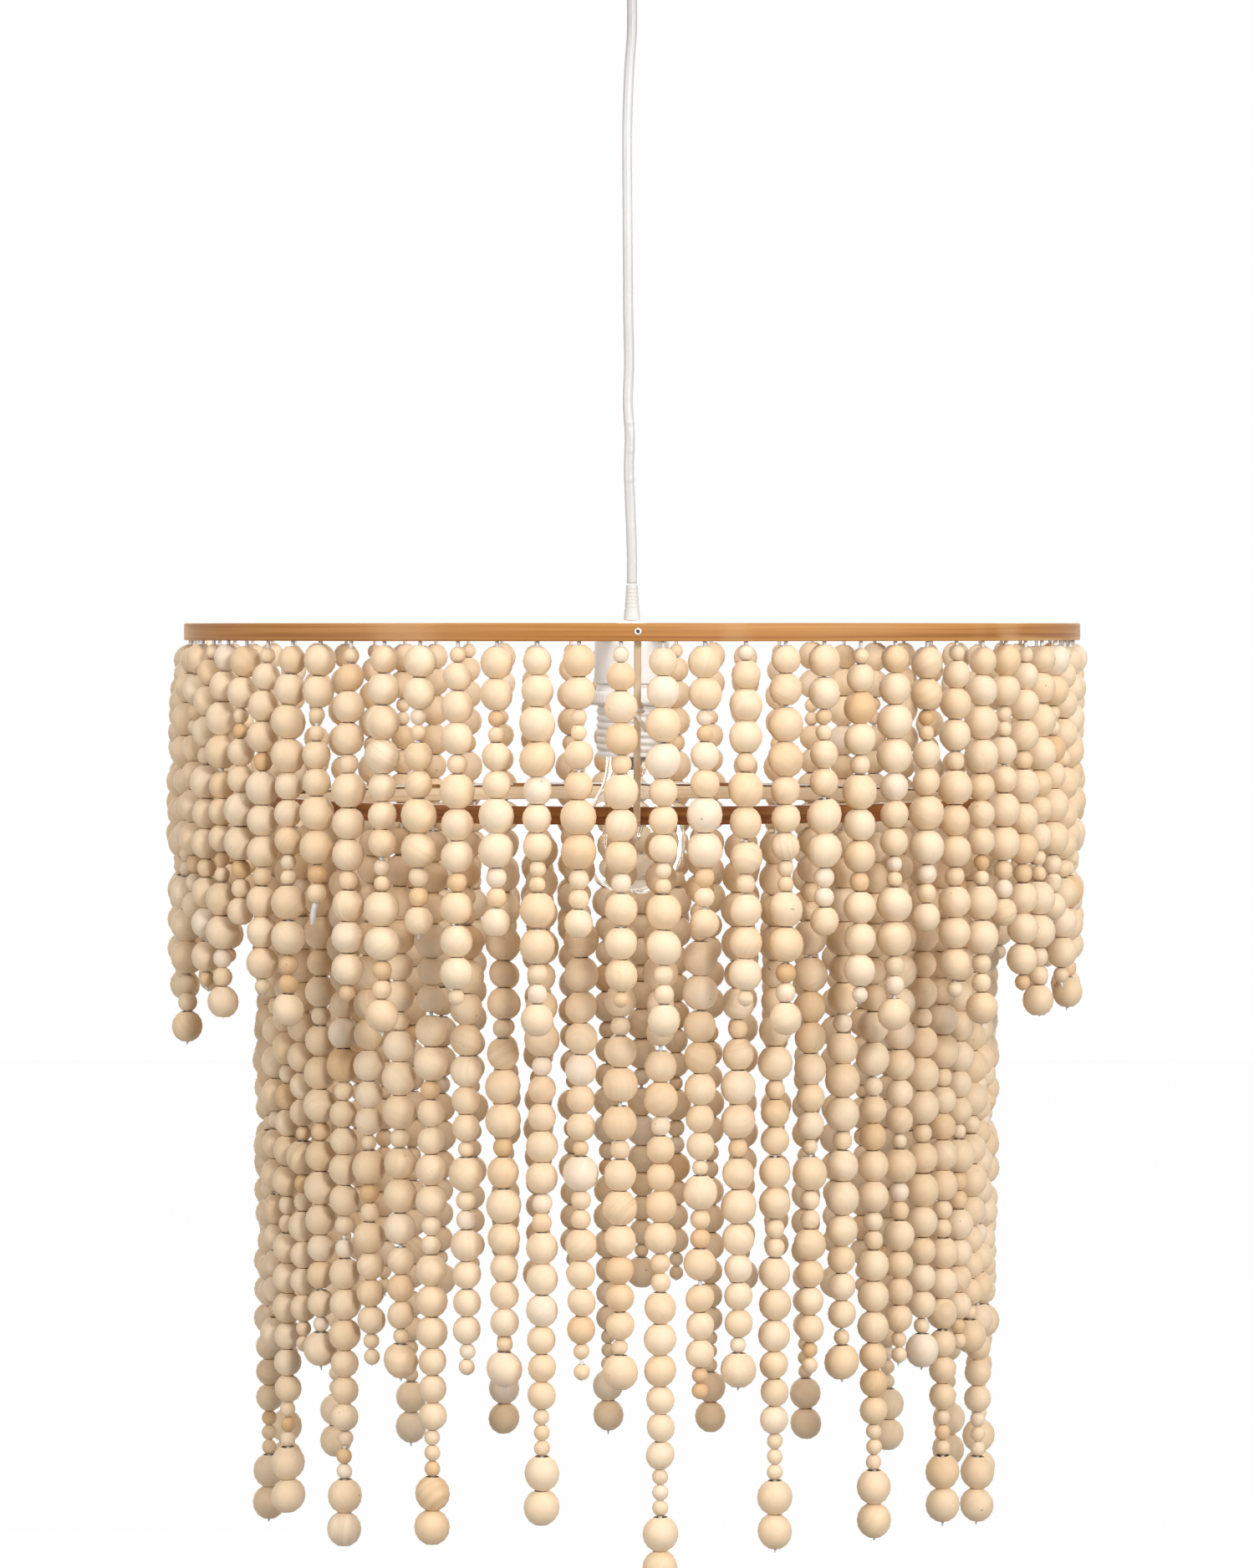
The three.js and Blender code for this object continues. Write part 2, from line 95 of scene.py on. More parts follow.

# %% [markdown]
# ## Surfaces as arrays
# Every new piece here is a grid of points. The rows of the grid run along one parameter and the
# columns round the other, and numpy computes all the points at once. One helper turns such a grid
# into a mesh, another joins several grids into one piece.


# %% From grids to meshes
def grid_faces(rows, columns, closed):
    """Corner numbers of the quads of a rows x columns grid. If closed, the last column meets the
    first. The quads turn so that they face outwards when rows go up and columns go anticlockwise
    seen from above."""
    row = np.arange(rows - 1)[:, None]
    column = np.arange(columns if closed else columns - 1)[None, :]
    after = (column + 1) % columns
    quads = [row * columns + column, row * columns + after]
    quads += [(row + 1) * columns + after, (row + 1) * columns + column]
    return np.stack(np.broadcast_arrays(*quads), axis=-1).reshape(-1, 4)


def cap_faces(rows, columns):
    """Two faces that close a grid at its first row, facing down, and at its last, facing up."""
    ring = np.arange(columns)
    return [ring[::-1].tolist(), ((rows - 1) * columns + ring).tolist()]


def new_piece(name, surface, material, body, node=None, sharp=None):
    """A smooth mesh object from a (points, faces) pair, which rides on a CAD body and may
    replace a CAD node. Edges that are sharper than an angle in degrees can stay sharp."""
    points, faces = surface
    mesh = bpy.data.meshes.new(name)
    mesh.from_pydata(np.asarray(points).reshape(-1, 3).tolist(), [], faces)
    mesh.materials.append(material)
    mesh.shade_smooth()
    if sharp:
        mesh.set_sharp_from_angle(angle=math.radians(sharp))
    piece = bpy.data.objects.new(name, mesh)
    bpy.context.scene.collection.objects.link(piece)
    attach(piece, body)
    if node:
        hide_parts(node)
    return piece


def joined(parts):
    """Several (points, faces) pairs as one pair, with the corner numbers moved on."""
    points, faces, first = [], [], 0
    for part_points, part_faces in parts:
        flat = np.asarray(part_points).reshape(-1, 3)
        points.append(flat)
        faces += [[corner + first for corner in face] for face in part_faces]
        first += len(flat)
    return np.concatenate(points), faces


def closed_grid(points):
    """A capped grid whose columns close on themselves, as a (points, faces) pair."""
    rows, columns = points.shape[:2]
    return points, grid_faces(rows, columns, True).tolist() + cap_faces(rows, columns)


def looped_grid(points):
    """A grid that closes on itself both ways, as a ring does, as a (points, faces) pair."""
    rows, columns = points.shape[:2]
    return points, (grid_faces(rows + 1, columns, True) % (rows * columns)).tolist()


def add_attribute(piece, name, values):
    """A number or a vector for each point of a piece, for its material to read."""
    values = np.asarray(values, dtype=np.float32)
    single = values.size == len(piece.data.vertices)
    kind, field = ("FLOAT", "value") if single else ("FLOAT_VECTOR", "vector")
    layer = piece.data.attributes.new(name, kind, "POINT")
    layer.data.foreach_set(field, values.ravel())


# %% Forms that come back
def stacked(*parts):
    """Numbers and arrays spread to one shape, as the coordinates on a new last axis."""
    return np.stack(np.broadcast_arrays(*parts), axis=-1)


def circle_angles(count):
    """Angles in even steps round a circle."""
    return np.arange(count) * FULL_TURN / count


def about_axis(radius, angle, height):
    """Points about the lamp's axis: (r cos a, r sin a, h)."""
    return stacked(radius * np.cos(angle), radius * np.sin(angle), height)


def turned(profile, sides):
    """A profile of (radius, height) pairs turned about Z."""
    profile = np.asarray(profile, dtype=float)
    return about_axis(profile[:, :1], circle_angles(sides), profile[:, 1:])


def offsets(radius, height, *steps):
    """Part of a profile: (radius, height) pairs that lie some millimetres from a base one."""
    return [(radius + out * MM, height + up * MM) for out, up in steps]


def tube(line, radius, sides):
    """Level round sections on a line that goes more or less up or down. The radius may change
    along the line, in rows, and round it, in columns."""
    return line[:, None] + about_axis(radius, circle_angles(sides), 0.0)


def rounded(path, radius, steps=4):
    """A path whose inner corners are rounded: each becomes a quadratic curve
    (1-t)^2 a + 2t(1-t) corner + t^2 b between points a and b at the given distance from it."""
    path = np.asarray(path, dtype=float)
    before, corner, after = path[:-2], path[1:-1], path[2:]

    def towards(other):
        way = other - corner
        length = np.linalg.norm(way, axis=1, keepdims=True)
        return (corner + way / length * np.minimum(radius, length / 2))[:, None]

    t = np.linspace(0, 1, steps + 1)[None, :, None]
    bend = (1 - t) ** 2 * towards(before) + 2 * t * (1 - t) * corner[:, None]
    bend = bend + t**2 * towards(after)
    return np.concatenate([path[:1], bend.reshape(-1, path.shape[1]), path[-1:]])


def superellipse(a, power):
    """A squared-off circle: |cos a|^n and |sin a|^n with the signs of the cosine and the sine."""
    waves = np.cos(a), np.sin(a)
    return [np.sign(wave) * np.abs(wave) ** power for wave in waves]


# %% [markdown]
# ## Materials
# Raw beech beads, split bamboo, moulded plastic, nickel, glass and thread. Each is one
# Principled shader with patterns behind its colour, roughness or bump. Wood reads a grain
# coordinate stored on the mesh, because each bead was cut from another piece of wood.


# %% Helpers for shader nodes
def feed(tree, sockets, values):
    """Gives each socket its value, or links it to the output that feeds it."""
    for socket, value in zip(sockets, values):
        if isinstance(value, bpy.types.NodeSocket):
            tree.links.new(value, socket)
        else:
            socket.default_value = value


def set_sockets(tree, node, **values):
    """Feeds a node's sockets by name, with an underscore for a space."""
    feed(tree, [node.inputs[name.replace("_", " ")] for name in values], values.values())


def new_material(name, roughness, **sockets):
    """A material with a Principled shader, whose plain values are set on its own sockets."""
    material = bpy.data.materials.new(name)
    material.use_nodes = True
    tree = material.node_tree
    shader = tree.nodes["Principled BSDF"]
    set_sockets(tree, shader, Roughness=roughness, **sockets)
    return material, tree, shader


def add_node(tree, kind, settings=None, **sockets):
    """A shader node: settings are its properties, sockets are fed by name."""
    node = tree.nodes.new("ShaderNode" + kind)
    for setting, value in (settings or {}).items():
        setattr(node, setting, value)
    set_sockets(tree, node, **sockets)
    return node


def attribute(tree, name, output="Fac"):
    """The output of an attribute that is stored on the mesh."""
    return add_node(tree, "Attribute", {"attribute_name": name}).outputs[output]


def object_place(tree):
    """The object coordinates, which a piece carries along when it moves."""
    return add_node(tree, "TexCoord").outputs["Object"]


def noise(tree, vector, scale, detail=3.0, roughness=0.5, distortion=0.0):
    """A noise pattern's grey value. Three scales in place of one draw the pattern out."""
    if isinstance(scale, tuple):
        stretch = add_node(tree, "VectorMath", {"operation": "MULTIPLY"})
        feed(tree, stretch.inputs, (vector, scale))
        vector, scale = stretch.outputs[0], 1.0
    node = add_node(tree, "TexNoise", Vector=vector, Scale=scale, Detail=detail)
    set_sockets(tree, node, Roughness=roughness, Distortion=distortion)
    return node.outputs["Fac"]


def colour_ramp(tree, value, stops):
    """Colours along a value: stops are (place, (red, green, blue)) pairs."""
    node = add_node(tree, "ValToRGB", Fac=value)
    ramp = node.color_ramp
    while len(ramp.elements) < len(stops):
        ramp.elements.new(0.5)
    for element, (place, colour) in zip(ramp.elements, stops):
        element.position = place
        element.color = (*colour, 1)
    return node.outputs["Color"]


def math_node(tree, operation, a, b):
    """a and b combined by a sum, a product or the like."""
    node = add_node(tree, "Math", {"operation": operation})
    feed(tree, node.inputs, (a, b))
    return node.outputs[0]


def mixed(tree, share, a, b, blend="MIX"):
    """Colour a turned into colour b by a share."""
    node = add_node(tree, "Mix", {"data_type": "RGBA", "blend_type": blend})
    feed(tree, (node.inputs[0], node.inputs[6], node.inputs[7]), (share, a, b))
    return node.outputs[2]


def bump(tree, shader, height, strength, distance):
    """A bump from a grey height, distance metres deep."""
    node = add_node(tree, "Bump", Height=height, Strength=strength, Distance=distance)
    set_sockets(tree, shader, Normal=node.outputs["Normal"])


def spread_between(tree, value, low, high):
    """A value from 0 to 1 moved to the range low to high."""
    return add_node(tree, "MapRange", Value=value, To_Min=low, To_Max=high).outputs["Result"]


# %% [markdown]
# ### Bead wood
# The beads are unvarnished and pale, and no two have the same tone: most are cream, a few tan
# or nearly white. Growth rings show as faint bands, which only a few beads have strongly, and
# pores as fine streaks. The flat ends and the drilled holes are painted dark brown, as painted
# shade where the beads touch and inside the holes. The tone of a bead, its figure, its grain
# direction and the distance to its ends are attributes, written with the beads.

# %% Bead wood
bead_wood, tree, shader = new_material("bead_wood", 0.6, Specular_IOR_Level=0.4)
grain = attribute(tree, "grain", "Vector")
rings = noise(tree, grain, (330, 26, 15), 2.0, 0.45, 0.25)
pores = noise(tree, grain, (2600, 2600, 190), 2.0, 0.6)
patches = noise(tree, grain, 60.0, 1.0)
specks = noise(tree, grain, 330.0, 0.0)
base = colour_ramp(
    tree,
    attribute(tree, "tone"),
    [
        (0.0, (0.600, 0.350, 0.150)),
        (0.25, (0.720, 0.477, 0.248)),
        (0.5, (0.822, 0.617, 0.390)),
        (0.75, (0.872, 0.706, 0.500)),
        (1.0, (0.885, 0.755, 0.600)),
    ],
)
banded = colour_ramp(tree, rings, [(0.36, (0.78, 0.72, 0.65)), (0.62, (1.03, 1.02, 1.01))])
streaked = colour_ramp(tree, pores, [(0.30, (0.90, 0.87, 0.84)), (0.55, (1, 1, 1))])
clouded = colour_ramp(tree, patches, [(0.3, (0.95, 0.94, 0.93)), (0.7, (1.02, 1.02, 1.02))])
colour = mixed(tree, attribute(tree, "figure"), base, banded, "MULTIPLY")
colour = mixed(tree, 0.4, colour, streaked, "MULTIPLY")
colour = mixed(tree, 0.7, colour, clouded, "MULTIPLY")
speckled = colour_ramp(tree, specks, [(0.86, (0, 0, 0)), (0.90, (0.5, 0.5, 0.5))])
colour = mixed(tree, speckled, colour, (0.25, 0.13, 0.05, 1))
# The flat ends and the hole are painted dark brown: painted shade in the gaps where beads touch
# and inside the hole.
to_end = math_node(tree, "MULTIPLY", attribute(tree, "end"), 0.5)
painted_shade_at_ends = [(0.485, (0, 0, 0)), (0.5, (0.75, 0.75, 0.75)), (0.65, (1, 1, 1))]
colour = mixed(tree, colour_ramp(tree, to_end, painted_shade_at_ends), colour, (0.10, 0.052, 0.022, 1))
set_sockets(tree, shader, Base_Color=colour, Roughness=spread_between(tree, pores, 0.62, 0.44))
bump(tree, shader, pores, 0.1, 0.0001)


# %% [markdown]
# ### Bamboo
# The hoops, sticks and bars are split bamboo. Its fibres run the whole length, so the pattern
# reads a coordinate that is stored along the piece: metres along, across and through it.
# The upper hoop is stained golden brown, the lower one dark, and the sticks are left raw, with
# their colour made paler still as painted light, since the strands shade them.


# %% Bamboo
def bamboo(name, dark, middle, light, patch_colour, patch_share):
    """Fibres drawn out along the stored coordinate 'along', with paler patches between. Where
    the attribute 'worn' is high, the stain is rubbed off between the fibres. The attribute
    'seam' is zero along a slanting glued joint, where a thin line is dark."""
    material, tree, shader = new_material(name, 0.5, Specular_IOR_Level=0.4)
    along = attribute(tree, "along", "Vector")
    fibres = noise(tree, along, (9, 1500, 1500), 3.0, 0.6)
    streaks = noise(tree, along, (4, 420, 420), 2.0, 0.5, 0.3)
    patches = noise(tree, along, (7, 60, 60), 2.0)
    base = colour_ramp(tree, streaks, [(0.3, dark), (0.5, middle), (0.72, light)])
    fine = colour_ramp(tree, fibres, [(0.32, (0.80, 0.74, 0.68)), (0.6, (1.04, 1.04, 1.04))])
    colour = mixed(tree, 0.6, base, fine, "MULTIPLY")
    paler = colour_ramp(tree, patches, [(0.60, (0, 0, 0)), (0.68, (1, 1, 1))])
    share = math_node(tree, "MULTIPLY", paler, patch_share)
    colour = mixed(tree, share, colour, (*patch_colour, 1))
    between_fibres = spread_between(tree, fibres, 0.5, 1.2)
    rubbed = math_node(tree, "MULTIPLY", attribute(tree, "worn"), between_fibres)
    colour = mixed(tree, rubbed, colour, (*patch_colour, 1))
    beside_seam = math_node(tree, "ABSOLUTE", attribute(tree, "seam"), 0.0)
    glued = colour_ramp(tree, beside_seam, [(0.0, (0.75, 0.75, 0.75)), (0.012, (0, 0, 0))])
    colour = mixed(tree, glued, colour, (*dark, 1))
    set_sockets(tree, shader, Base_Color=colour, Roughness=spread_between(tree, fibres, 0.62, 0.4))
    bump(tree, shader, fibres, 0.35, 0.00012)
    return material


BAMBOO_KINDS = {  # dark, middle and light fibres, then the paler patches and their share
    "golden_bamboo": [(0.300, 0.116, 0.020), (0.420, 0.182, 0.040), (0.515, 0.255, 0.070)]
    + [(0.66, 0.41, 0.19), 0.6],
    "dark_bamboo": [(0.190, 0.060, 0.010), (0.300, 0.108, 0.020), (0.400, 0.165, 0.040)]
    + [(0.46, 0.22, 0.08), 0.3],
    "inside_bamboo": [(0.690, 0.480, 0.280), (0.820, 0.630, 0.420), (0.890, 0.730, 0.530)]
    + [(0.91, 0.79, 0.62), 0.3],
    # Raw bamboo made paler still: painted light on the sticks, which lie in the strands' shade.
    "pale_bamboo": [(0.880, 0.700, 0.460), (0.930, 0.810, 0.610), (0.950, 0.860, 0.700)]
    + [(0.91, 0.81, 0.65), 0.3],
}
kinds = [bamboo(name, *values) for name, values in BAMBOO_KINDS.items()]
golden_bamboo, dark_bamboo, inside_bamboo, pale_bamboo = kinds


# %% [markdown]
# ### Plastic, thread, metal and glass
# The moulded parts are white with a fine orange-peel skin and a little yellowing. Threads are
# white cotton with a visible twist. Metal is nickel-plated with fine scratches. Glass is a
# plain dielectric: what makes it look like glass is the thin wall and the white room.


# %% Plastic
def plastic(name, colour, tint, roughness):
    """White moulded plastic: slow changes of tone and a fine skin."""
    material, tree, shader = new_material(name, roughness)
    place = object_place(tree)
    skin = noise(tree, place, 2600.0, 2.0)
    tone = colour_ramp(tree, noise(tree, place, 30.0, 2.0), [(0.35, tint), (0.65, colour)])
    sheen = spread_between(tree, skin, roughness - 0.06, roughness + 0.08)
    set_sockets(tree, shader, Base_Color=tone, Roughness=sheen)
    bump(tree, shader, skin, 0.08, 0.00008)
    return material


painted_white = plastic("painted_white", (0.74, 0.735, 0.72), (0.70, 0.695, 0.68), 0.42)
white_plastic = plastic("white_plastic", (0.88, 0.875, 0.855), (0.84, 0.83, 0.81), 0.34)
cord_jacket = plastic("cord_jacket", (0.62, 0.63, 0.625), (0.58, 0.59, 0.585), 0.30)
relief_rubber = plastic("relief_rubber", (0.66, 0.67, 0.65), (0.60, 0.61, 0.59), 0.38)


# %% Thread
def twisted_thread(name, colour, shade):
    """Cotton: the ply shows as slanting stripes along the stored coordinate 'along'."""
    material, tree, shader = new_material(name, 0.85)
    along = attribute(tree, "along", "Vector")
    ply = add_node(tree, "TexWave", {"bands_direction": "DIAGONAL"}, Vector=along)
    set_sockets(tree, ply, Scale=450.0, Distortion=1.5)
    fluff = spread_between(tree, noise(tree, along, 900.0, 2.0), 0.7, 1.1)
    value = math_node(tree, "MULTIPLY", ply.outputs["Fac"], fluff)
    striped = colour_ramp(tree, value, [(0.1, shade), (0.7, colour)])
    set_sockets(tree, shader, Base_Color=striped)
    bump(tree, shader, value, 0.5, 0.0002)
    return material


white_thread = twisted_thread("white_thread", (0.94, 0.93, 0.91), (0.86, 0.85, 0.82))


# %% Metal, ceramic and glass
def plated_metal(name, colour, roughness):
    """Plated metal: fine scratches change its roughness, and slow clouds its tone."""
    material, tree, shader = new_material(name, roughness, Metallic=1.0)
    place = object_place(tree)
    scratches = noise(tree, place, (300, 300, 4000), 3.0, 0.6)
    darker = tuple(channel * 0.82 for channel in colour)
    tone = colour_ramp(tree, noise(tree, place, 120.0, 2.0), [(0.3, darker), (0.7, colour)])
    sheen = spread_between(tree, scratches, roughness - 0.08, roughness + 0.14)
    set_sockets(tree, shader, Base_Color=tone, Roughness=sheen)
    return material


nickel = plated_metal("nickel", (0.66, 0.64, 0.60), 0.28)
brass = plated_metal("brass", (0.72, 0.52, 0.26), 0.32)
# A near-black metal for a plug in each eyelet's hole: painted shade where the eyelet is hollow.
painted_hole_shade = plated_metal("painted_hole_shade", (0.06, 0.055, 0.05), 0.45)
filament_metal = plated_metal("filament_metal", (0.42, 0.40, 0.38), 0.4)
ceramic = plastic("ceramic", (0.66, 0.64, 0.60), (0.58, 0.56, 0.52), 0.5)

clear_glass, tree, shader = new_material("clear_glass", 0.0, Transmission_Weight=1.0, IOR=1.45)
waves = spread_between(tree, noise(tree, object_place(tree), 18.0, 0.0), 0.0, 0.012)
set_sockets(tree, shader, Base_Color=(0.97, 0.985, 0.985, 1), Roughness=waves)

# %% [markdown]
# ## The supply cord
# The lamp hangs by its cord, so the cord is taut, but it keeps the small kinks of its packing.
# Two cores lie under a thin pale jacket, which shows as a shallow groove on each side that
# slowly turns. The cord only ever goes down, so X and Y are smooth functions of Z.

# %% Cord
CORD_DIAMETER = 6 * MM
CORD_ROWS, CORD_SIDES = 320, 24
CORD_ROUTE = MM * np.array(
    [(0, 0, -63), (0, 0, -80), (-1.6, 0.2, -104), (-2.7, 0.3, -135), (-2.6, 0, -170)]
    + [(-2.3, -0.3, -205), (-2.1, 0, -240), (-1.6, 0.4, -268), (-2.3, 0.2, -290)]
    + [(-1.2, -0.2, -308), (-1.7, 0, -326), (-1, 0.2, -346), (-0.3, 0, -364)]
    + [(0, 0, -376), (0, 0, -390.7)]
)
CREASES = np.array([-289, -303, -319, -335, -362]) * MM
CREASE_DEPTHS = np.array([0.05, 0.09, 0.07, 0.08, 0.03])
CREASE_WIDTH = 1.1 * MM
GROOVE_DEPTH, GROOVE_POWER = 0.06, 14
TWIST_START, TWIST_PER_METRE = 0.5, 6
TWIST_JUMP_AT, TWIST_JUMP_OVER = -303 * MM, 4 * MM


def through_points(route, rows):
    """A smooth line through points that only go down: on each span a cubic Hermite curve
    h00 p0 + h10 m0 + h01 p1 + h11 m1, whose slopes m are those of the neighbours' chord."""
    height = np.linspace(route[0, 2], route[-1, 2], rows)
    slope = np.gradient(route, route[:, 2], axis=0)
    span = np.clip(np.searchsorted(-route[:, 2], -height) - 1, 0, len(route) - 2)
    length = (route[span + 1, 2] - route[span, 2])[:, None]
    t = (height[:, None] - route[span, 2:3]) / length
    start = (1 + 2 * t) * (1 - t) ** 2 * route[span] + t * (1 - t) ** 2 * length * slope[span]
    end = t**2 * (3 - 2 * t) * route[span + 1] + t**2 * (t - 1) * length * slope[span + 1]
    return start + end


def cord_surface(line, sides):
    """A round section on each point of the line: r = R (1 - groove - creases), where the groove
    follows |cos(a - turn)| to a high power. A crease is a narrow dip with a bulge beside it."""
    angle, height = circle_angles(sides), line[:, 2:3]
    turn = TWIST_START + TWIST_PER_METRE * height
    turn = turn + 0.5 * np.tanh((height - TWIST_JUMP_AT) / TWIST_JUMP_OVER)
    groove = GROOVE_DEPTH * np.abs(np.cos(angle - turn)) ** GROOVE_POWER
    from_crease = (height - CREASES) / CREASE_WIDTH
    dip = (CREASE_DEPTHS * np.exp(-(from_crease**2))).sum(axis=1, keepdims=True)
    beside = (CREASE_DEPTHS * np.exp(-((from_crease - 2.4) ** 2))).sum(axis=1, keepdims=True)
    share = 1 - groove - dip * (0.6 + 0.4 * np.cos(angle - 1)) + 0.5 * beside
    return tube(line, CORD_DIAMETER / 2 * share, sides)


cord_line = through_points(CORD_ROUTE, CORD_ROWS)[::-1]
cord_grid = closed_grid(cord_surface(cord_line, CORD_SIDES))
supply_cord = new_piece("supply_cord_jacket", cord_grid, cord_jacket, "cord", "supply_cord")

# %% [markdown]
# ## Bead strands
# A bead is a ball that is drilled through, so its two ends are flat and beads sit on each other
# with a thin dark line between. The beads come in five sizes, and the strands repeat six
# patterns of them, but the maker miscounted here and there. More than two thousand beads share
# one small shape; numpy places a whole group of them in one array sum and gives each its own
# size, tilt and tone.

# %% Bead patterns
BEAD_DIAMETER = {"X": 18 * MM, "L": 16.5 * MM, "M": 14.5 * MM, "t": 10.2 * MM, "s": 8.2 * MM}
STRAND_BEADS = {
    "long": "MLXXMMMssXXttL",
    "longer": "MLXXMMMssXXXttL",
    "short": "LLssMMXXttM",
    "middle": "sMLLtXLLtLLLs",
    "lower_long": "LLLXMMLXtMMLLttLLLMMMsssXX",
    "lower_short": "MMttXXLLLMMsXttLMMMss",
    "lower_middle": "MLXXMLtLXXtLXLMMMsX",
    "lower_longest": "LLLLXMMLXtMMLLttLLLMMMsssXX",
    "lower_less": "LLLXMLXtMMLLttLLLMMMsssXX",
}
UPPER_CYCLE = ["long", "short", "middle"]
UPPER_ODD_PLACE = 3
UPPER_LONGER_GROUP = 15
LOWER_CYCLE = ["lower_long", "lower_short", "lower_middle"]
ADDED_ON_TOP = {(0, 1): "t", (4, 0): "t", (15, 0): "M", (17, 0): "s"}
BROKEN_STRAND = "upper", 17, 2  # its last bead is gone and its thread hangs bare
UPPER_GROUPS, UPPER_PER_GROUP, UPPER_FIRST_ANGLE = 18, 4, -31.3
LOWER_GROUPS, LOWER_PER_GROUP, LOWER_FIRST_ANGLE = 20, 3, 4.3
HOOP_HEIGHT = 9.4 * MM
BAND_THICKNESS = 1.8 * MM
SLOT_WIDTH = 4.4 * MM
CARRIER_THICKNESS = 2.8 * MM
CARRIER_DROP = 1.8 * MM
STRAND_INSET = BAND_THICKNESS + SLOT_WIDTH / 2
THREAD_GAP = 1.6 * MM
THREAD_RADIUS = 1 * MM
TAPE_THICKNESS = 1 * MM
TAPE_LAP = 1.8 * MM
TAPE_EDGE = 1.1 * MM


def upper_beads(group, place):
    """The upper strands follow one cycle, but for one strand too many in the first group, which
    shifts the cycle as far as the back, and for one bead too many on a strand."""
    if group == 0 and place == UPPER_ODD_PLACE:
        return STRAND_BEADS["short"]
    if group == UPPER_LONGER_GROUP and place == UPPER_ODD_PLACE:
        return STRAND_BEADS["longer"]
    shift = len(UPPER_CYCLE) - 1 if 0 < group < UPPER_GROUPS / 2 else 0
    return STRAND_BEADS[UPPER_CYCLE[(group + place + shift) % len(UPPER_CYCLE)]]


def lower_beads(group, place):
    """The lower strands follow one cycle, but for a longer strand and a shorter one in front,
    and for a few with one more bead on top."""
    if place == 0 and group == 0:
        return STRAND_BEADS["lower_longest"]
    if place == 0 and group == LOWER_GROUPS - 1:
        return STRAND_BEADS["lower_less"]
    kind = LOWER_CYCLE[place % len(LOWER_CYCLE)]
    return ADDED_ON_TOP.get((group, place), "") + STRAND_BEADS[kind]


# %% The bead's shape
BEAD_SIDES = 12
BEAD_RINGS = 7
FLAT_ANGLE = math.radians(22)
BEAD_ROUNDNESS = 0.94
COUNTERSINK = 0.25


def unit_bead():
    """The points and faces of a bead of radius 1 and height 2: for an angle a from pole to pole,
    the radius is sin(a)^0.94 and the height -cos(a)/cos(a0), so that it stops at a rim at a0. The
    radius is a little more than 1, as flat facets must be to cover what a circle covers. Each end
    is a cone that dips to the drilled hole. The last values are the distance to an end: the
    height of a point on the side, 1 at the rim and 2 in the hole."""
    a = np.linspace(FLAT_ANGLE, math.pi - FLAT_ANGLE, BEAD_RINGS)
    swell = 1 / math.sqrt(math.cos(math.pi / BEAD_SIDES) * math.cos((a[1] - a[0]) / 2))
    profile = np.stack([swell * np.sin(a) ** BEAD_ROUNDNESS, -np.cos(a) / np.cos(a[0])], axis=1)
    points = turned(profile, BEAD_SIDES).reshape(-1, 3)
    holes = np.array([[0, 0, COUNTERSINK - 1], [0, 0, 1 - COUNTERSINK]])
    ring, first_of_last = np.arange(BEAD_SIDES), (BEAD_RINGS - 1) * BEAD_SIDES
    after, hole = (ring + 1) % BEAD_SIDES, np.full(BEAD_SIDES, len(points))
    low_cone = np.stack([after, ring, hole], axis=1)
    high_cone = np.stack([first_of_last + ring, first_of_last + after, hole + 1], axis=1)
    end = np.concatenate([np.abs(points[:, 2]), [2, 2]])
    sides = grid_faces(BEAD_RINGS, BEAD_SIDES, True)
    return np.concatenate([points, holes]), sides, np.concatenate([low_cone, high_cone]), end


def random_turns(count, rng):
    """Random rotation matrices, from quaternions drawn evenly from the unit sphere."""
    quaternion = rng.normal(size=(4, count))
    w, x, y, z = quaternion / np.linalg.norm(quaternion, axis=0)
    rows = [
        [1 - 2 * (y * y + z * z), 2 * (x * y - w * z), 2 * (x * z + w * y)],
        [2 * (x * y + w * z), 1 - 2 * (x * x + z * z), 2 * (y * z - w * x)],
        [2 * (x * z - w * y), 2 * (y * z + w * x), 1 - 2 * (x * x + y * y)],
    ]
    return np.moveaxis(np.array(rows), -1, 0)


UNIT_POINTS, UNIT_SIDES, UNIT_CONES, UNIT_END = unit_bead()
print("faces on one bead:", len(UNIT_SIDES) + len(UNIT_CONES))

# %% How a strand hangs
BEAD_HEIGHT_SHARE = 0.98  # of its diameter, which leaves the thin gaps between beads
LEAST_GAP = 0.12 * MM
SIZE_SPREAD, SIZE_LIMITS = 0.012, (-0.025, 0.02)
GAP_WEIGHTS = 1.2, 0.5, 0.5
DRIFT_OUT = -0.003, 0.0015, 0.0015  # least and greatest slope, spread of the wave
DRIFT_SIDE = -0.0018, 0.0018, 0.0008
DRIFT_WAVE = 50 * MM
LEFT_FLARE = 4.8 * MM  # on the left the strands hang this much outside their circle
RIGHT_PULL = 1.6 * MM  # and on the right this much inside it
FLARE_DEPTH = 40 * MM


def strand_layout(beads, top, rng):
    """Diameters, lengths and middle heights of a strand's beads. Each bead is 2% shorter than
    its place, and what that saves gathers as bare thread at the top and in two other spots."""
    nominal = np.array([BEAD_DIAMETER[bead] for bead in beads])
    diameter = nominal * (1 + np.clip(rng.normal(0, SIZE_SPREAD, len(beads)), *SIZE_LIMITS))
    length = nominal * BEAD_HEIGHT_SHARE
    spare = nominal.sum() - length.sum() - LEAST_GAP * len(beads)
    spots = np.concatenate([[0], 1 + rng.choice(len(beads) - 1, 2, replace=False)])
    gap = np.full(len(beads), LEAST_GAP)
    gap[spots] += spare * rng.dirichlet(GAP_WEIGHTS)
    start = top - HOOP_HEIGHT - THREAD_GAP
    middle = start - np.cumsum(gap + length) + length / 2
    return diameter, length, middle


def lean(height, top, drift):
    """Sideways drift of a strand below the hoop: a slope and a slow wave, in metres."""
    depth = np.maximum(top - HOOP_HEIGHT - height, 0)
    slope, wave, phase = drift
    return slope * depth + wave * depth * np.sin(depth / DRIFT_WAVE + phase)


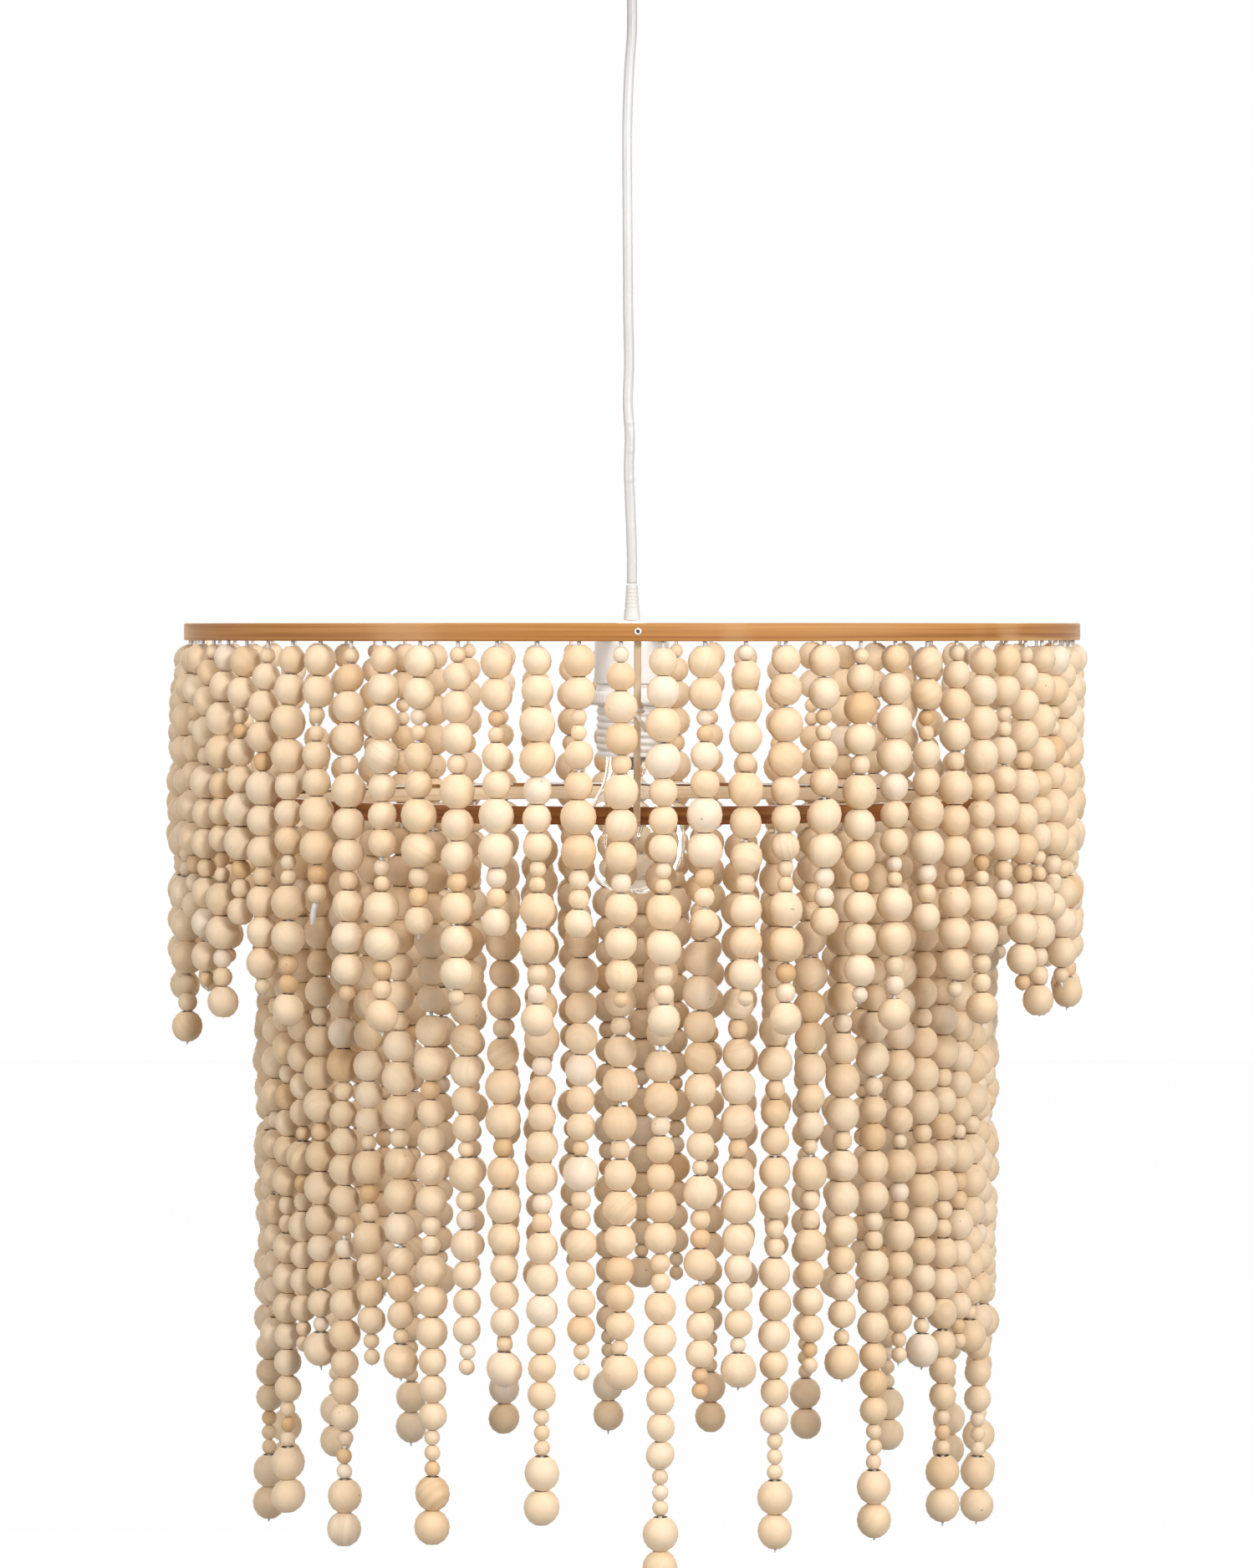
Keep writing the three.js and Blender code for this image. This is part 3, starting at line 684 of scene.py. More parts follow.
def strand_line(height, top, circle, angle, drift_out, drift_side):
    """A strand's points at some heights: its place on the circle, its drift outwards and
    sideways, and the flare that all strands have on the lamp's left and right."""
    out, side = directions(angle)
    below_hoop = np.clip((top - HOOP_HEIGHT - height) / FLARE_DEPTH, 0, 1)
    flare = (RIGHT_PULL if out[0] > 0 else LEFT_FLARE) * -out[0] * below_hoop
    outwards = (circle + lean(height, top, drift_out) + flare)[:, None] * out
    return lean(height, top, drift_side)[:, None] * side + outwards + height[:, None] * UP


# %% [markdown]
# ### The threads
# Each strand hangs on its own cotton thread, which comes up through the slot of the hoop and is
# sewn to a flat tape that lies on the carrier strip. Under the last bead the thread is knotted
# and cut short. A thread is one tube whose radius swells at the knot.


# %% Threads and tapes
KNOT_DROPS = np.array([3.6, 2.0, 1.2, 0.7, 0.3, -0.2, -0.8, -1.4]) * MM  # under the last bead
KNOT_SWELL = np.array([0.3, 0.55, 0.65, 0.9, 1.25, 1.35, 1.2, 1.0])
FRAYED_SWELL = np.array([1.2, 1.5, 1.55, 1.5, 1.5, 1.4, 1.2, 1.0])
TAIL_SIZES, TAIL_CHANCES = (0.2, 0.9), (0.6, 0.4)
TAIL_CURL = np.array([[1], [0.7], [0.3]]) * 0.5 * MM  # at the three lowest rows
BARE_THREAD = 4 * MM  # from the knot's rows to the rows inside the beads
BROKEN_TAIL, BROKEN_SIDE = 3.3, 3 * MM
THREAD_ROWS, THREAD_SIDES = 14, 6
TAPE_ROWS, TAPE_COLUMNS = 24, 12
ROUNDNESS = 0.35  # power of the superellipse in tapes and sticks
BEAD_PLAY = 0.12 * MM
BEAD_TILT = math.radians(1.6)


def hang_strand(beads, angle, top, circle, broken, rng):
    """One strand: the middles and half sizes of its beads, its thread, and the 'along'
    coordinates of that. A broken one has lost its last bead, and its thread hangs frayed."""
    diameter, length, middle = strand_layout(beads, top, rng)
    tail, swell = rng.choice(TAIL_SIZES, p=TAIL_CHANCES) * rng.uniform(0.6, 1), KNOT_SWELL
    if broken:
        diameter, length, middle = diameter[:-1], length[:-1], middle[:-1]
        tail, swell = BROKEN_TAIL, FRAYED_SWELL
    drifts = [
        (rng.uniform(low, high), rng.normal(0, wave), rng.uniform(0, 6))
        for low, high, wave in (DRIFT_OUT, DRIFT_SIDE)
    ]
    loose = rng.normal(0, BEAD_PLAY, (len(middle), 3)) * (1, 1, 0)
    centre = strand_line(middle, top, circle, angle, *drifts) + loose
    end = middle[-1] - length[-1] / 2
    above = np.linspace(end + BARE_THREAD, top - TAPE_THICKNESS / 2, THREAD_ROWS)
    heights = np.concatenate([end - KNOT_DROPS * tail, above])
    line = strand_line(heights, top, circle, angle, *drifts)
    line[: len(TAIL_CURL), :2] += rng.normal(0, 1, 2) * tail * TAIL_CURL
    if broken:
        aside = np.linspace(BROKEN_SIDE, 0, len(KNOT_DROPS))[:, None]
        line[: len(KNOT_DROPS)] -= aside * directions(angle)[1]
    radius = THREAD_RADIUS * np.concatenate([swell, np.ones(THREAD_ROWS)])
    thread = closed_grid(tube(line, radius[:, None], THREAD_SIDES))
    along = stacked(line[:, 2:3], np.arange(THREAD_SIDES) * THREAD_RADIUS, 0.0)
    return centre, np.stack([diameter, diameter, length], axis=1) / 2, thread, along


def ribbon(radius, half_width, half_thickness, angles, height):
    """A flat band round an arc: the section is a superellipse that is carried along the arc's
    angles from the front."""
    x, z = superellipse(circle_angles(TAPE_COLUMNS), ROUNDNESS)
    out = stacked(np.sin(angles), -np.cos(angles), 0.0)
    points = out[:, None, :] * (radius + x * half_width)[None, :, None]
    points[..., 2] += height + z * half_thickness
    return points


# %% Tones of the beads
SMALL_BEAD = 5.5 * MM
TAN_SHARE, WHITE_SHARE = (0.16, 0.02), (0.07, 0.02)  # of the small beads and of the others
TAN_TONES, BIG_BEADS_PALER, WHITE_TONE = (0.22, 0.45), 0.08, 0.95
CREAM_TONE, CREAM_SPREAD, CREAM_LIMITS = 0.66, 0.08, (0.46, 0.88)
FIGURED_SHARE, STRONG_FIGURE, WEAK_FIGURE = 0.03, 0.6, (0.05, 0.28)


def bead_tones(radius, rng):
    """Tone and figure of each bead. Most are cream, and more of the small ones are tan or
    nearly white."""
    count, small = len(radius), radius < SMALL_BEAD
    tan = rng.random(count) < np.where(small, *TAN_SHARE)
    tan_tone = rng.uniform(*TAN_TONES, count) + np.where(small, 0, BIG_BEADS_PALER)
    cream = np.clip(rng.normal(CREAM_TONE, CREAM_SPREAD, count), *CREAM_LIMITS)
    white = rng.random(count) < np.where(small, *WHITE_SHARE)
    tone = np.where(white, WHITE_TONE, np.where(tan, tan_tone, cream))
    figured = rng.random(count) < FIGURED_SHARE
    return tone, np.where(figured, STRONG_FIGURE, rng.uniform(*WEAK_FIGURE, count))


# %% A group of strands
def add_beads(name, body, centre, half, rng):
    """All beads of a group as one piece, each with its own size, tilt, grain and tone."""
    count = len(centre)
    tilt = rng.normal(0, BEAD_TILT, (count, 2))
    points = UNIT_POINTS[None] * half[:, None]
    points[..., 2] += tilt[:, :1] * points[..., 0] + tilt[:, 1:] * points[..., 1]
    grain = np.einsum("nij,nvj->nvi", random_turns(count, rng), points)
    grain += rng.uniform(-2, 2, (count, 1, 3))
    shift = (np.arange(count) * len(UNIT_POINTS))[:, None, None]
    faces = (UNIT_SIDES[None] + shift).reshape(-1, 4).tolist()
    faces += (UNIT_CONES[None] + shift).reshape(-1, 3).tolist()
    beads = new_piece(name, (points + centre[:, None], faces), bead_wood, body, body, sharp=40)
    tone, figure = bead_tones(half[:, 0], rng)
    add_attribute(beads, "grain", grain)
    add_attribute(beads, "tone", np.repeat(tone, len(UNIT_POINTS)))
    add_attribute(beads, "figure", np.repeat(figure, len(UNIT_POINTS)))
    add_attribute(beads, "end", np.tile(UNIT_END, count))


def strand_group(tier, group, top, circle, strands, angles, rng):
    """One group's beads as one piece and its threads with their tape as another."""
    body = f"{tier}_strands_{group + 1:02d}"
    hung = [
        hang_strand(beads, angle, top, circle, (tier, group, strand) == BROKEN_STRAND, rng)
        for strand, (beads, angle) in enumerate(zip(strands, angles))
    ]
    centres, halves, threads, along = zip(*hung)
    centre, half = np.concatenate(centres), np.concatenate(halves)
    add_beads(f"{tier}_beads_{group + 1:02d}", body, centre, half, rng)
    reach = (TAPE_LAP + TAPE_EDGE) / circle
    arc = np.linspace(angles[0] - reach, angles[-1] + reach, TAPE_ROWS)
    inner, outer = circle - SLOT_WIDTH / 2 - TAPE_LAP, circle + TAPE_EDGE
    width, middle = outer - inner, (inner + outer) / 2
    tape = ribbon(middle, width / 2, TAPE_THICKNESS / 2, arc, top - TAPE_THICKNESS / 2)
    tape_along = stacked((arc * circle)[:, None], np.arange(TAPE_COLUMNS) * MM, 0.0)
    surface = joined([*threads, closed_grid(tape)])
    piece = new_piece(f"{tier}_threads_{group + 1:02d}", surface, white_thread, body)
    coordinates = [part.reshape(-1, 3) for part in (*along, tape_along)]
    add_attribute(piece, "along", np.concatenate(coordinates))
    return len(centre)


def curtain(tier, groups, per_group, first_angle, beads_of, seed):
    """All the groups of one hoop. Each group draws from a random source of its own."""
    top, _, radius = extent(f"{tier}_hoop_outer")
    pitch = FULL_TURN / (groups * per_group)
    beads = 0
    for g in range(groups):
        places = range(g * per_group, (g + 1) * per_group)
        angles = [math.radians(first_angle) + place * pitch for place in places]
        strands = [beads_of(g, place) for place in range(per_group)]
        rng = np.random.default_rng(seed + g)
        beads += strand_group(tier, g, top, radius - STRAND_INSET, strands, angles, rng)
    print(tier, "beads:", beads)


# %% Hang both curtains
curtain("upper", UPPER_GROUPS, UPPER_PER_GROUP, UPPER_FIRST_ANGLE, upper_beads, 100)
curtain("lower", LOWER_GROUPS, LOWER_PER_GROUP, LOWER_FIRST_ANGLE, lower_beads, 500)

# %% [markdown]
# ## The hoops
# A hoop is an outer band and a carrier strip inside it, each bent from one strip of bamboo. A
# strip is a rounded rectangle carried round a circle. Its radius wavers by a hair, and at six
# places it swells at a node, as the cane does.


# %% Hoops
STRIP_ROWS, STRIP_COLUMNS = 288, 16
STRIP_ROUNDNESS = 0.3
NODES_PER_HOOP, NODE_WIDTH, NODE_SWELL = 6, 3 * MM, 0.12 * MM


def bent_strip(outer, thickness, bottom, top, seed):
    """A strip round the axis: the section is a superellipse, and the radius and the height
    waver by sums of slow sines. Returns its grid and its 'along' coordinates."""
    rng = np.random.default_rng(seed)
    a = circle_angles(STRIP_ROWS)
    x, z = superellipse(circle_angles(STRIP_COLUMNS) + math.pi / STRIP_COLUMNS, STRIP_ROUNDNESS)
    x, z = x * thickness / 2, z * (top - bottom) / 2
    waves = np.array([3, 5, 8])[:, None]
    phase, size = rng.uniform(0, 6, (3, 1)), rng.uniform(0.02, 0.06, (3, 1)) * MM
    waver = (size * np.sin(waves * a + phase)).sum(axis=0)
    nodes = rng.uniform(0, FULL_TURN, NODES_PER_HOOP)
    gap = (a[:, None] - nodes + math.pi) % FULL_TURN - math.pi
    swell = NODE_SWELL * np.exp(-((gap * outer / NODE_WIDTH) ** 2)).sum(axis=1)
    middle = (outer - thickness / 2 - 0.1 * MM + waver)[:, None]
    radius = middle + x * (1 + swell[:, None] / thickness)
    height = (top + bottom) / 2 + z + waver[:, None] * 0.5
    along = stacked((a * outer)[:, None], height, x + seed)
    return about_axis(radius, a[:, None], height)[:, ::-1], along[:, ::-1]


WORN_SPOTS = {  # degrees from the front, half width in degrees, strength
    "upper": [(-28.4, 4.2, 0.35), (12.2, 1.6, 0.25), (47, 1.4, 0.1), (53, 2.2, 0.35)]
    + [(110, 3, 0.4)],
    "lower": [(-70, 2, 0.4), (35, 1.5, 0.3), (160, 3, 0.4)],
}
SEAM_ANGLE = {"upper": -26.5, "lower": 140}
SEAM_SLANT = 40 * MM  # how far the joint runs along the band from its bottom edge to its top
SEAM_REACH = 30 * MM


def marks(tier, along, outer):
    """Two values on a band: worn = sum of bumps exp(-(angle from spot / half width)^4), and
    seam = distance from the slanting joint, up to SEAM_REACH, as a share of it."""
    angle = np.degrees(along[..., 0] / outer) + 90
    worn = np.zeros_like(angle)
    for middle, half_width, strength in WORN_SPOTS[tier]:
        gap = (angle - middle + 180) % 360 - 180
        worn += strength * np.exp(-((gap / half_width) ** 4))
    gap = (angle - SEAM_ANGLE[tier] + 180) % 360 - 180
    rise = (along[..., 1] - along[..., 1].mean()) / HOOP_HEIGHT
    seam = np.clip((np.radians(gap) * outer - SEAM_SLANT * rise) / SEAM_REACH, -1, 1)
    return worn, seam


def add_hoop(tier, stain, seed):
    """The stained outer band and the raw carrier strip of one hoop, in place of the CAD's."""
    top, _, outer = extent(f"{tier}_hoop_outer")
    bottom, inside = top - HOOP_HEIGHT, outer - BAND_THICKNESS - SLOT_WIDTH
    band = outer, BAND_THICKNESS, bottom, top, seed
    carrier = inside, CARRIER_THICKNESS, bottom, top - CARRIER_DROP, seed + 1
    strips = ("band", "outer", stain, band), ("carrier", "inner", inside_bamboo, carrier)
    for part, side, finish, values in strips:
        points, along = bent_strip(*values)
        node = f"{tier}_hoop_{side}"
        surface = looped_grid(points)
        strip = new_piece(f"{tier}_hoop_{part}", surface, finish, "shade_frame", node)
        worn, seam = marks(tier, along, outer)
        add_attribute(strip, "along", along)
        add_attribute(strip, "worn", worn * (side == "outer"))
        add_attribute(strip, "seam", seam)
    print(tier, "hoop radius in mm:", round(outer / MM, 1))


add_hoop("upper", golden_bamboo, 11)
add_hoop("lower", dark_bamboo, 21)

# %% [markdown]
# ## Sticks and bars
# Four flat sticks hang the lower hoop from the upper one: each leaves the inside of the upper
# hoop, slants in and ends on the outside of the lower one. Two half-lapped bars cross the upper
# hoop and carry the lampholder. All are rounded bars carried along a line.


# %% Sticks between the hoops
BAR_COLUMNS = 16


def distance_along(line):
    """The distance of each point of a line from its first one, measured along it."""
    steps = np.linalg.norm(np.diff(line, axis=0), axis=1)
    return np.concatenate([[0], np.cumsum(steps)])


def bar_along(line, half_width, half_thickness, side):
    """A superellipse section carried along a line in a vertical plane. The width lies along
    side, and the thickness across both it and the line. Returns its 'along' coordinates too."""
    tangent = np.gradient(line, axis=0)
    tangent /= np.linalg.norm(tangent, axis=1, keepdims=True)
    w, t = superellipse(circle_angles(BAR_COLUMNS), ROUNDNESS)
    w, t = half_width * w, half_thickness * t
    across = np.cross(tangent, side)
    points = line[:, None] + w[:, None] * side + t[:, None] * across[:, None]
    return points, stacked(distance_along(line)[:, None], w, t)


def polyline(corners, spacing, bend):
    """Points along straight stretches whose corners are rounded off over the length bend."""
    soft = rounded(corners, bend, 5)
    distance = distance_along(soft)
    at = np.linspace(0, distance[-1], max(2, int(distance[-1] / spacing)))
    return np.stack([np.interp(at, distance, axis) for axis in soft.T], axis=-1)


def add_bar(name, points, along, node):
    """A stick or bar of raw bamboo made paler as painted light, without the glued joint that the
    hoops have.
    """
    bar = new_piece(name, closed_grid(points), pale_bamboo, "shade_frame", node)
    add_attribute(bar, "along", along)
    add_attribute(bar, "seam", np.ones(along.shape[:2]))


STRUT_WIDTH = 3.8 * MM
STRUT_THICKNESS = 2.4 * MM
STRUT_ANGLE = 0.7
STRUT_COUNT = 4
STRUT_STEP = 3 * MM
upper_top, _, upper_radius = extent("upper_hoop_outer")
lower_top, _, lower_radius = extent("lower_hoop_outer")
upper_inside = upper_radius - BAND_THICKNESS - SLOT_WIDTH - CARRIER_THICKNESS
upper_face = upper_inside - 0.6 * MM - STRUT_THICKNESS / 2
lower_face = lower_radius + 0.35 * MM + STRUT_THICKNESS / 2
slant_top, slant_bottom = upper_top - HOOP_HEIGHT / 2, lower_top - HOOP_HEIGHT / 2


def add_strut(number):
    """One stick, with its slant between the two hoops."""
    out, side = directions(math.radians(STRUT_ANGLE) + (number - 1) * FULL_TURN / STRUT_COUNT)
    shape = [
        (lower_face, lower_top - HOOP_HEIGHT + 0.2 * MM),
        (lower_face, slant_bottom),
        (upper_face, slant_top),
        (upper_face, upper_top - 0.2 * MM),
    ]
    corners = [radius * out + height * UP for radius, height in shape]
    line = polyline(corners, STRUT_STEP, STRUT_STEP)
    points, along = bar_along(line, STRUT_WIDTH / 2, STRUT_THICKNESS / 2, side)
    add_bar(f"stick_{number}", points, along + number, f"strut_{number}")
    return out, side


strut_directions = [add_strut(number + 1) for number in range(STRUT_COUNT)]
print("sticks:", len(strut_directions))


# %% Crossbars
BAR_WIDTH = 12 * MM
BAR_ANGLE = 45.7
BAR_ROUNDNESS = 0.3
BAR_INSET, LAP_INSET = 0.05 * MM, 0.15 * MM  # from the CAD's faces, and between the bars


def add_crossbar(name, angle, lap_from_top):
    """A bar whose top or bottom face steps to half its height where the other bar crosses it."""
    high, low, _ = extent(name)
    back, way = directions(angle)
    lap = BAR_WIDTH / 2 + 0.4 * MM
    arm = np.linspace(lap, upper_inside - 0.8 * MM, 40)
    s = np.concatenate([-arm[::-1], [BAR_INSET - lap, lap - BAR_INSET], arm])
    inside, middle = (np.abs(s) < lap)[:, None], (low + high) / 2
    bottom = np.where(inside & (not lap_from_top), middle + LAP_INSET, low + BAR_INSET)
    top = np.where(inside & lap_from_top, middle - LAP_INSET, high - BAR_INSET)
    w, t = superellipse(circle_angles(BAR_COLUMNS), BAR_ROUNDNESS)
    w = w * BAR_WIDTH / 2
    height = (top + bottom) / 2 + t * (top - bottom) / 2
    points = s[:, None, None] * way - w[:, None] * back
    points[..., 2] = height
    add_bar(name.replace("crossbar", "bar"), points, stacked(s[:, None], w, height), name)


add_crossbar("crossbar_lower", math.radians(BAR_ANGLE), True)
add_crossbar("crossbar_upper", math.radians(BAR_ANGLE + 90), False)

# %% [markdown]
# ## The lampholder
# A holder of this kind has a smooth cap, a body with a coarse outside thread and a shade ring on
# that thread. A hollow threaded nipple with a nut clamps the cap to the bars, and a soft sleeve
# relieves the cord. All are turned profiles, and a thread is a profile whose radius depends on
# the angle as well: r = R - depth * wave(height / pitch + angle / turn).

# %% Holder cap
HOLDER_SIDES = 64
CAP_WALL = 2.2 * MM
CAP_BEVEL = 2.5  # millimetres
NIPPLE_RADIUS = 4.8 * MM
nipple_hole = NIPPLE_RADIUS + 0.3 * MM


def add_turned(name, profile, material, body, node=None, sharp=None):
    """A turned piece that is closed at both ends."""
    return new_piece(name, closed_grid(turned(profile, HOLDER_SIDES)), material, body, node, sharp)


def add_shell(name, profile, material, body, node):
    """A hollow turned piece from a closed profile, whose last point meets its first."""
    grid = looped_grid(turned(profile, HOLDER_SIDES))
    return new_piece(name, grid, material, body, node, sharp=35)


cap_top, cap_bottom, cap_radius = extent("holder_cap")
cap_bore, cap_ceiling = cap_radius - CAP_WALL, cap_top - CAP_WALL
cap_edge = offsets(cap_radius, cap_bottom, (-1.2, 0), (-0.3, 0), (0, 1.5))
cap_edge += offsets(cap_radius, cap_top, (-0.4, -0.2))
cap_outside = rounded([*cap_edge, (cap_radius * 0.5, cap_top), (nipple_hole, cap_top)], 3.2 * MM)
cap_inside = offsets(cap_bore, cap_ceiling, (-CAP_BEVEL, 0), (0, -CAP_BEVEL))
cap_inside = [(nipple_hole, cap_ceiling), *cap_inside, (cap_bore, cap_bottom)]
cap_profile = np.concatenate([cap_outside, cap_inside])
add_shell("holder_cover", cap_profile, white_plastic, "shade_frame", "holder_cap")
print("lampholder radius in mm:", round(cap_radius / MM, 1))


# %% Holder body with its outside thread
BODY_BORE = 16.8 * MM
BODY_PLATE = 6.1 * MM
THREAD_PITCH = 4 * MM
THREAD_DEPTH = 0.9 * MM


def threaded(radius, depth, pitch, bottom, top, rows, power=1.0):
    """A turned surface with an outside thread that fades out at both ends:
    r = R - depth w^n, where w = (1 - cos(2 pi h / pitch + a)) / 2."""
    angle, height = circle_angles(HOLDER_SIDES), np.linspace(bottom, top, rows)[:, None]
    wave = 0.5 - 0.5 * np.cos(FULL_TURN * height / pitch + angle)
    fade = np.clip((top - height) / pitch, 0, 1) * np.clip((height - bottom) / pitch, 0, 1)
    return about_axis(radius - depth * wave**power * np.minimum(1, 2 * fade), angle, height)


body_top, body_bottom, body_radius = extent("holder_body")
body_plate = body_top - BODY_PLATE
body_inside = offsets(0, body_top, (0.2, 0)) + offsets(0, body_plate, (0.2, 0))
body_inside += [(BODY_BORE, body_plate), (BODY_BORE, body_bottom)]
body_thread = body_radius, THREAD_DEPTH, THREAD_PITCH, body_bottom, body_top
body_outside = threaded(*body_thread, rows=150, power=1.5)
body_grid = np.concatenate([body_outside, turned(body_inside, HOLDER_SIDES)])
body_grid = looped_grid(body_grid)
new_piece("holder_sleeve", body_grid, white_plastic, "shade_frame", "holder_body", sharp=50)

# %% Shade ring, knurled round its edge
RING_SIDES = 240
KNURLS, KNURL_DEPTH, KNURL_EDGE = 60, 0.35 * MM, 0.8 * MM
RING_CHAMFER = 1.6  # millimetres
ring_top, ring_bottom, ring_radius = extent("shade_ring")
ring_profile = (
    offsets(body_radius, ring_bottom, (0.4, 0.6), (1, 0))
    + offsets(ring_radius, ring_bottom, (-RING_CHAMFER, 0), (0, RING_CHAMFER))
    + offsets(ring_radius, ring_top, (0, -RING_CHAMFER), (-RING_CHAMFER, 0))
    + offsets(body_radius, ring_top, (1, 0), (0.4, -0.6))
)
ring_profile = rounded(ring_profile, 0.6 * MM)
ring_grid = turned(ring_profile, RING_SIDES)
edge = np.clip((ring_profile[:, :1] - (ring_radius - KNURL_EDGE)) / KNURL_EDGE, 0, 1)
groove = KNURL_DEPTH * edge * (0.5 + 0.5 * np.cos(KNURLS * circle_angles(RING_SIDES)))
ring_grid[..., :2] *= (1 - groove / ring_profile[:, :1])[..., None]
ring_grid = looped_grid(ring_grid)
new_piece("shade_collar", ring_grid, white_plastic, "shade_ring", "shade_ring", sharp=40)

# %% Nipple and nut
NIPPLE_BORE = 3.2 * MM
NIPPLE_THREAD = 0.35 * MM
NUT_HEIGHT, NUT_HALF, NUT_EDGE = 2.2 * MM, 8.5 * MM, 0.35 * MM
nipple_top, nipple_bottom, _ = extent("holder_nipple")
nipple_end = nipple_top - 0.3 * MM
nipple_height = np.linspace(nipple_bottom, nipple_end, 60)[:, None]
nipple_angle = circle_angles(HOLDER_SIDES)
wave = 0.5 + 0.5 * np.cos(FULL_TURN * nipple_height / MM + nipple_angle)
nipple_outside = about_axis(NIPPLE_RADIUS - NIPPLE_THREAD * wave, nipple_angle, nipple_height)
nipple_inside = turned([(NIPPLE_BORE, nipple_end), (NIPPLE_BORE, nipple_bottom)], HOLDER_SIDES)


def hexagon_radius(angle, half_width):
    """Distance from a hexagon's middle to its side: h / cos(angle from the nearest flat)."""
    from_flat = (angle + math.pi / 6) % (math.pi / 3) - math.pi / 6
    return half_width / np.cos(from_flat)


def nut_grid(half_width, bottom, top, bore):
    """A hexagon nut round a bore. A cone turns its corners down: the radius is the hexagon's or
    the cone's, whichever is less."""
    angle = circle_angles(HOLDER_SIDES * 3)
    corner = half_width * 1.06
    rim, side = corner * 0.94, corner * 1.09
    limits = np.array([bore, rim, side, side, rim, bore])[:, None]
    heights = np.array([bottom, bottom, bottom + NUT_EDGE, top - NUT_EDGE, top, top])[:, None]
    return about_axis(np.minimum(hexagon_radius(angle, half_width), limits), angle, heights)


nut = nut_grid(NUT_HALF, nipple_top - NUT_HEIGHT, nipple_top, NIPPLE_RADIUS - 0.1 * MM)
nipple = np.concatenate([nipple_outside, nipple_inside])
nipple = joined([looped_grid(nipple), looped_grid(nut)])
new_piece("nipple_and_nut", nipple, nickel, "shade_frame", "holder_nipple", sharp=30)

# %% Strain relief
RELIEF_TIP = 3.3 * MM
RIB_DEPTH, RIBS_FROM, RIBS_TO, RIBS_PER_HEIGHT = 0.14 * MM, 0.3, 0.9, 10
FOOT_SHARE = 0.12  # of the height, below the taper
relief_top, relief_bottom, relief_foot = extent("strain_relief")
share = np.linspace(0, 1, 90)
above_foot = np.clip((share - FOOT_SHARE) / (1 - FOOT_SHARE), 0, 1)
taper = relief_foot + (RELIEF_TIP - relief_foot) * above_foot**0.8
ribbed = (share > RIBS_FROM) * (share < RIBS_TO)
rib = 0.5 - 0.5 * np.cos(FULL_TURN * (share - RIBS_FROM) * RIBS_PER_HEIGHT)
relief_height = relief_bottom + share * (relief_top - relief_bottom)
relief_side = np.stack([taper - RIB_DEPTH * ribbed * rib, relief_height], axis=1)
tip = [(RELIEF_TIP - 0.25 * MM, relief_top), (0.1 * MM, relief_top)]
foot = [(taper[0] - 0.6 * MM, relief_bottom)]
relief_profile = np.concatenate([foot, relief_side[1:-1], tip])
add_turned("cord_sleeve", relief_profile, relief_rubber, "shade_frame", "strain_relief")

# %% Contact block
contact_top, contact_bottom, contact_radius = extent("contact_block")
contact_profile = (
    offsets(0, contact_bottom, (0.1, 0))
    + offsets(contact_radius * 0.4, contact_bottom, (0, 0))
    + offsets(contact_radius * 0.42, contact_bottom, (0, 0.8))
    + offsets(contact_radius, contact_bottom, (0, 0.8))
    + offsets(contact_radius, contact_top, (0, 0))
    + offsets(0, contact_top, (0.1, 0))
)
contact_profile = rounded(contact_profile, 0.5 * MM)
add_turned("contact_plate", contact_profile, ceramic, "shade_frame", "contact_block", sharp=35)

# %% [markdown]
# ## The bulb
# A clear bulb has a thin glass wall, so it is a shell with an outside and an inside: light
# passes both and bends back, which is why only the edges and the reflections show. Inside, a
# glass stem carries two wires, and a long filament zigzags between their ends. The screw cap is
# nickel-plated with a rolled round thread, and a ceramic disc parts it from the brass contact.

# %% Glass bulb
BALL_RADIUS = 30 * MM
NECK_RADIUS = 14.4 * MM
GLASS_WALL = 0.4 * MM
GLASS_SIDES = 144
LEAVE_ANGLE = math.radians(30)
glass_top, glass_bottom, _ = extent("bulb_glass")


def bulb_profile(shrink, top, rows=60):
    """(radius, height) up the bulb: an arc of the ball from its lowest point to 30 degrees above
    its middle, then a cubic Bezier curve to the neck. shrink moves it inwards."""
    ball, neck = BALL_RADIUS - shrink, NECK_RADIUS - shrink
    a = np.linspace(-math.pi / 2, LEAVE_ANGLE, rows)
    arc = np.stack([ball * np.cos(a), glass_bottom + BALL_RADIUS + ball * np.sin(a)], axis=1)
    reach = (top - arc[-1, 1]) / 2
    slope = np.array([-math.sin(LEAVE_ANGLE), math.cos(LEAVE_ANGLE)])
    p = np.array([arc[-1], arc[-1] + reach * slope, (neck, top - reach), (neck, top)])[:, None]
    t = np.linspace(0, 1, rows)[1:, None]
    start = (1 - t) ** 3 * p[0] + 3 * t * (1 - t) ** 2 * p[1]
    arc[0, 0] = 0.05 * MM
    return np.concatenate([arc, start + 3 * t**2 * (1 - t) * p[2] + t**3 * p[3]])


outer_part = closed_grid(turned(bulb_profile(0, glass_top), GLASS_SIDES))
inner_grid = turned(bulb_profile(GLASS_WALL, glass_top - GLASS_WALL), GLASS_SIDES)
inner_points, inner_faces = closed_grid(inner_grid)
glass = joined([outer_part, (inner_points, [face[::-1] for face in inner_faces])])
new_piece("bulb_shell", glass, clear_glass, "bulb", "bulb_glass", sharp=60)

